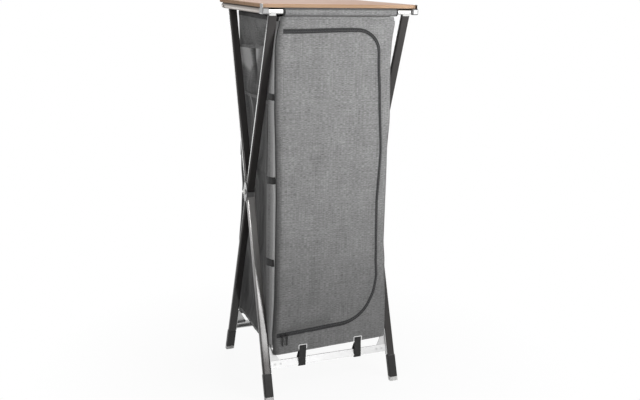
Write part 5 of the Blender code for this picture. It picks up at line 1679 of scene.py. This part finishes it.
# %% The straps' run
STRAP_HALF_WIDTH = 0.0135
WEBBING = 0.0012
WEBBING_STEP = 0.0008
BEND_RADIUS = 0.0030


def rounded_path(corners):
    """Points a webbing step apart along straight runs whose corners are rounded off."""
    points = [Vector(corners[0])]
    for before, corner, after in zip(corners, corners[1:], corners[2:]):
        corner = Vector(corner)
        back, forth = Vector(before) - corner, Vector(after) - corner
        reach = min(BEND_RADIUS, back.length * 0.45, forth.length * 0.45)
        start, end = corner + back.normalized() * reach, corner + forth.normalized() * reach
        for step in range(7):
            share = step / 6
            points.append(start * (1 - share) ** 2 + corner * 2 * share * (1 - share) + end * share ** 2)
    points.append(Vector(corners[-1]))
    even, left = [points[0]], 0.0
    for first, second in zip(points, points[1:]):
        length = (second - first).length
        while left + length >= WEBBING_STEP:
            share = (WEBBING_STEP - left) / length
            first = first + (second - first) * share
            even.append(first)
            length, left = (second - first).length, 0.0
        left += length
    return even


def strap_corners(end):
    """The strap's run as places (y, z), from behind the buckle's upper bar round the profile to the hem."""
    low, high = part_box(f"profile_bottom_{'front' if end < 0 else 'rear'}")
    outer_y, inner_y = (low[1], high[1]) if end < 0 else (high[1], low[1])
    lower_z, upper_z = low[2], high[2]
    face = HUB_Y + end * (HEM_DEPTH + 0.0004)
    behind_buckle = [(face + end * 0.0012, 0.1845), (face + end * 0.0016, 0.1800)]
    over_lower_bar = [(face + end * 0.0062, 0.1745), (face + end * 0.0050, 0.1640)]
    under_profile = [(outer_y + end * 0.0012, lower_z + 0.006), (outer_y + end * 0.0002, lower_z - 0.0012),
                     (inner_y - end * 0.0002, lower_z - 0.0012 - 0.0001)]
    up_inside = [(inner_y - end * 0.0010, lower_z + 0.006), (inner_y - end * 0.0008, upper_z),
                 (HUB_Y + end * (HEM_DEPTH - 0.0040), 0.1610)]
    return behind_buckle + over_lower_bar + under_profile + up_inside


print("places on a strap's run:", len(rounded_path(strap_corners(-1))))

# %% [markdown]
# ## Threading the straps
#
# The ribbon's width is even, and its length is the path. Each strap moves a little outward on its way down
# from the buckle, and it rides the lower frame, since it loops round the bottom profile.

# %% Thread the straps
for end, word in ENDS:
    path = rounded_path(strap_corners(end))
    last = len(path) - 1
    flat = (2 * STRAP_HALF_WIDTH, WEBBING_STEP * len(path))
    for side, side_word in SIDES:
        def strap_place(u, v, path=path, last=last, side=side):
            index = round(v * last)
            ahead = path[min(index + 1, last)] - path[max(index - 1, 0)]
            across = Vector((ahead.y, -ahead.x)).normalized()
            spot = path[index] + across * (0.00012 if index % 2 else 0.0)
            skew = 0.0040 * ease(v, 0.05, 0.45) * side * 0.4
            return Vector((side * BUCKLE_X + (2 * u - 1) * STRAP_HALF_WIDTH + skew, spot.x, spot.y))

        strap = add_sheet(f"hem_strap_{word}_{side_word}", 8, last, strap_place, flat, webbing_cloth,
                          flip=end < 0)
        thicken(strap, WEBBING, 0)
        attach(strap, f"lower_{word}_frame")
        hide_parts(f"strap_{word}_{side_word}")
    print("straps at the", word, len(path), "rows")
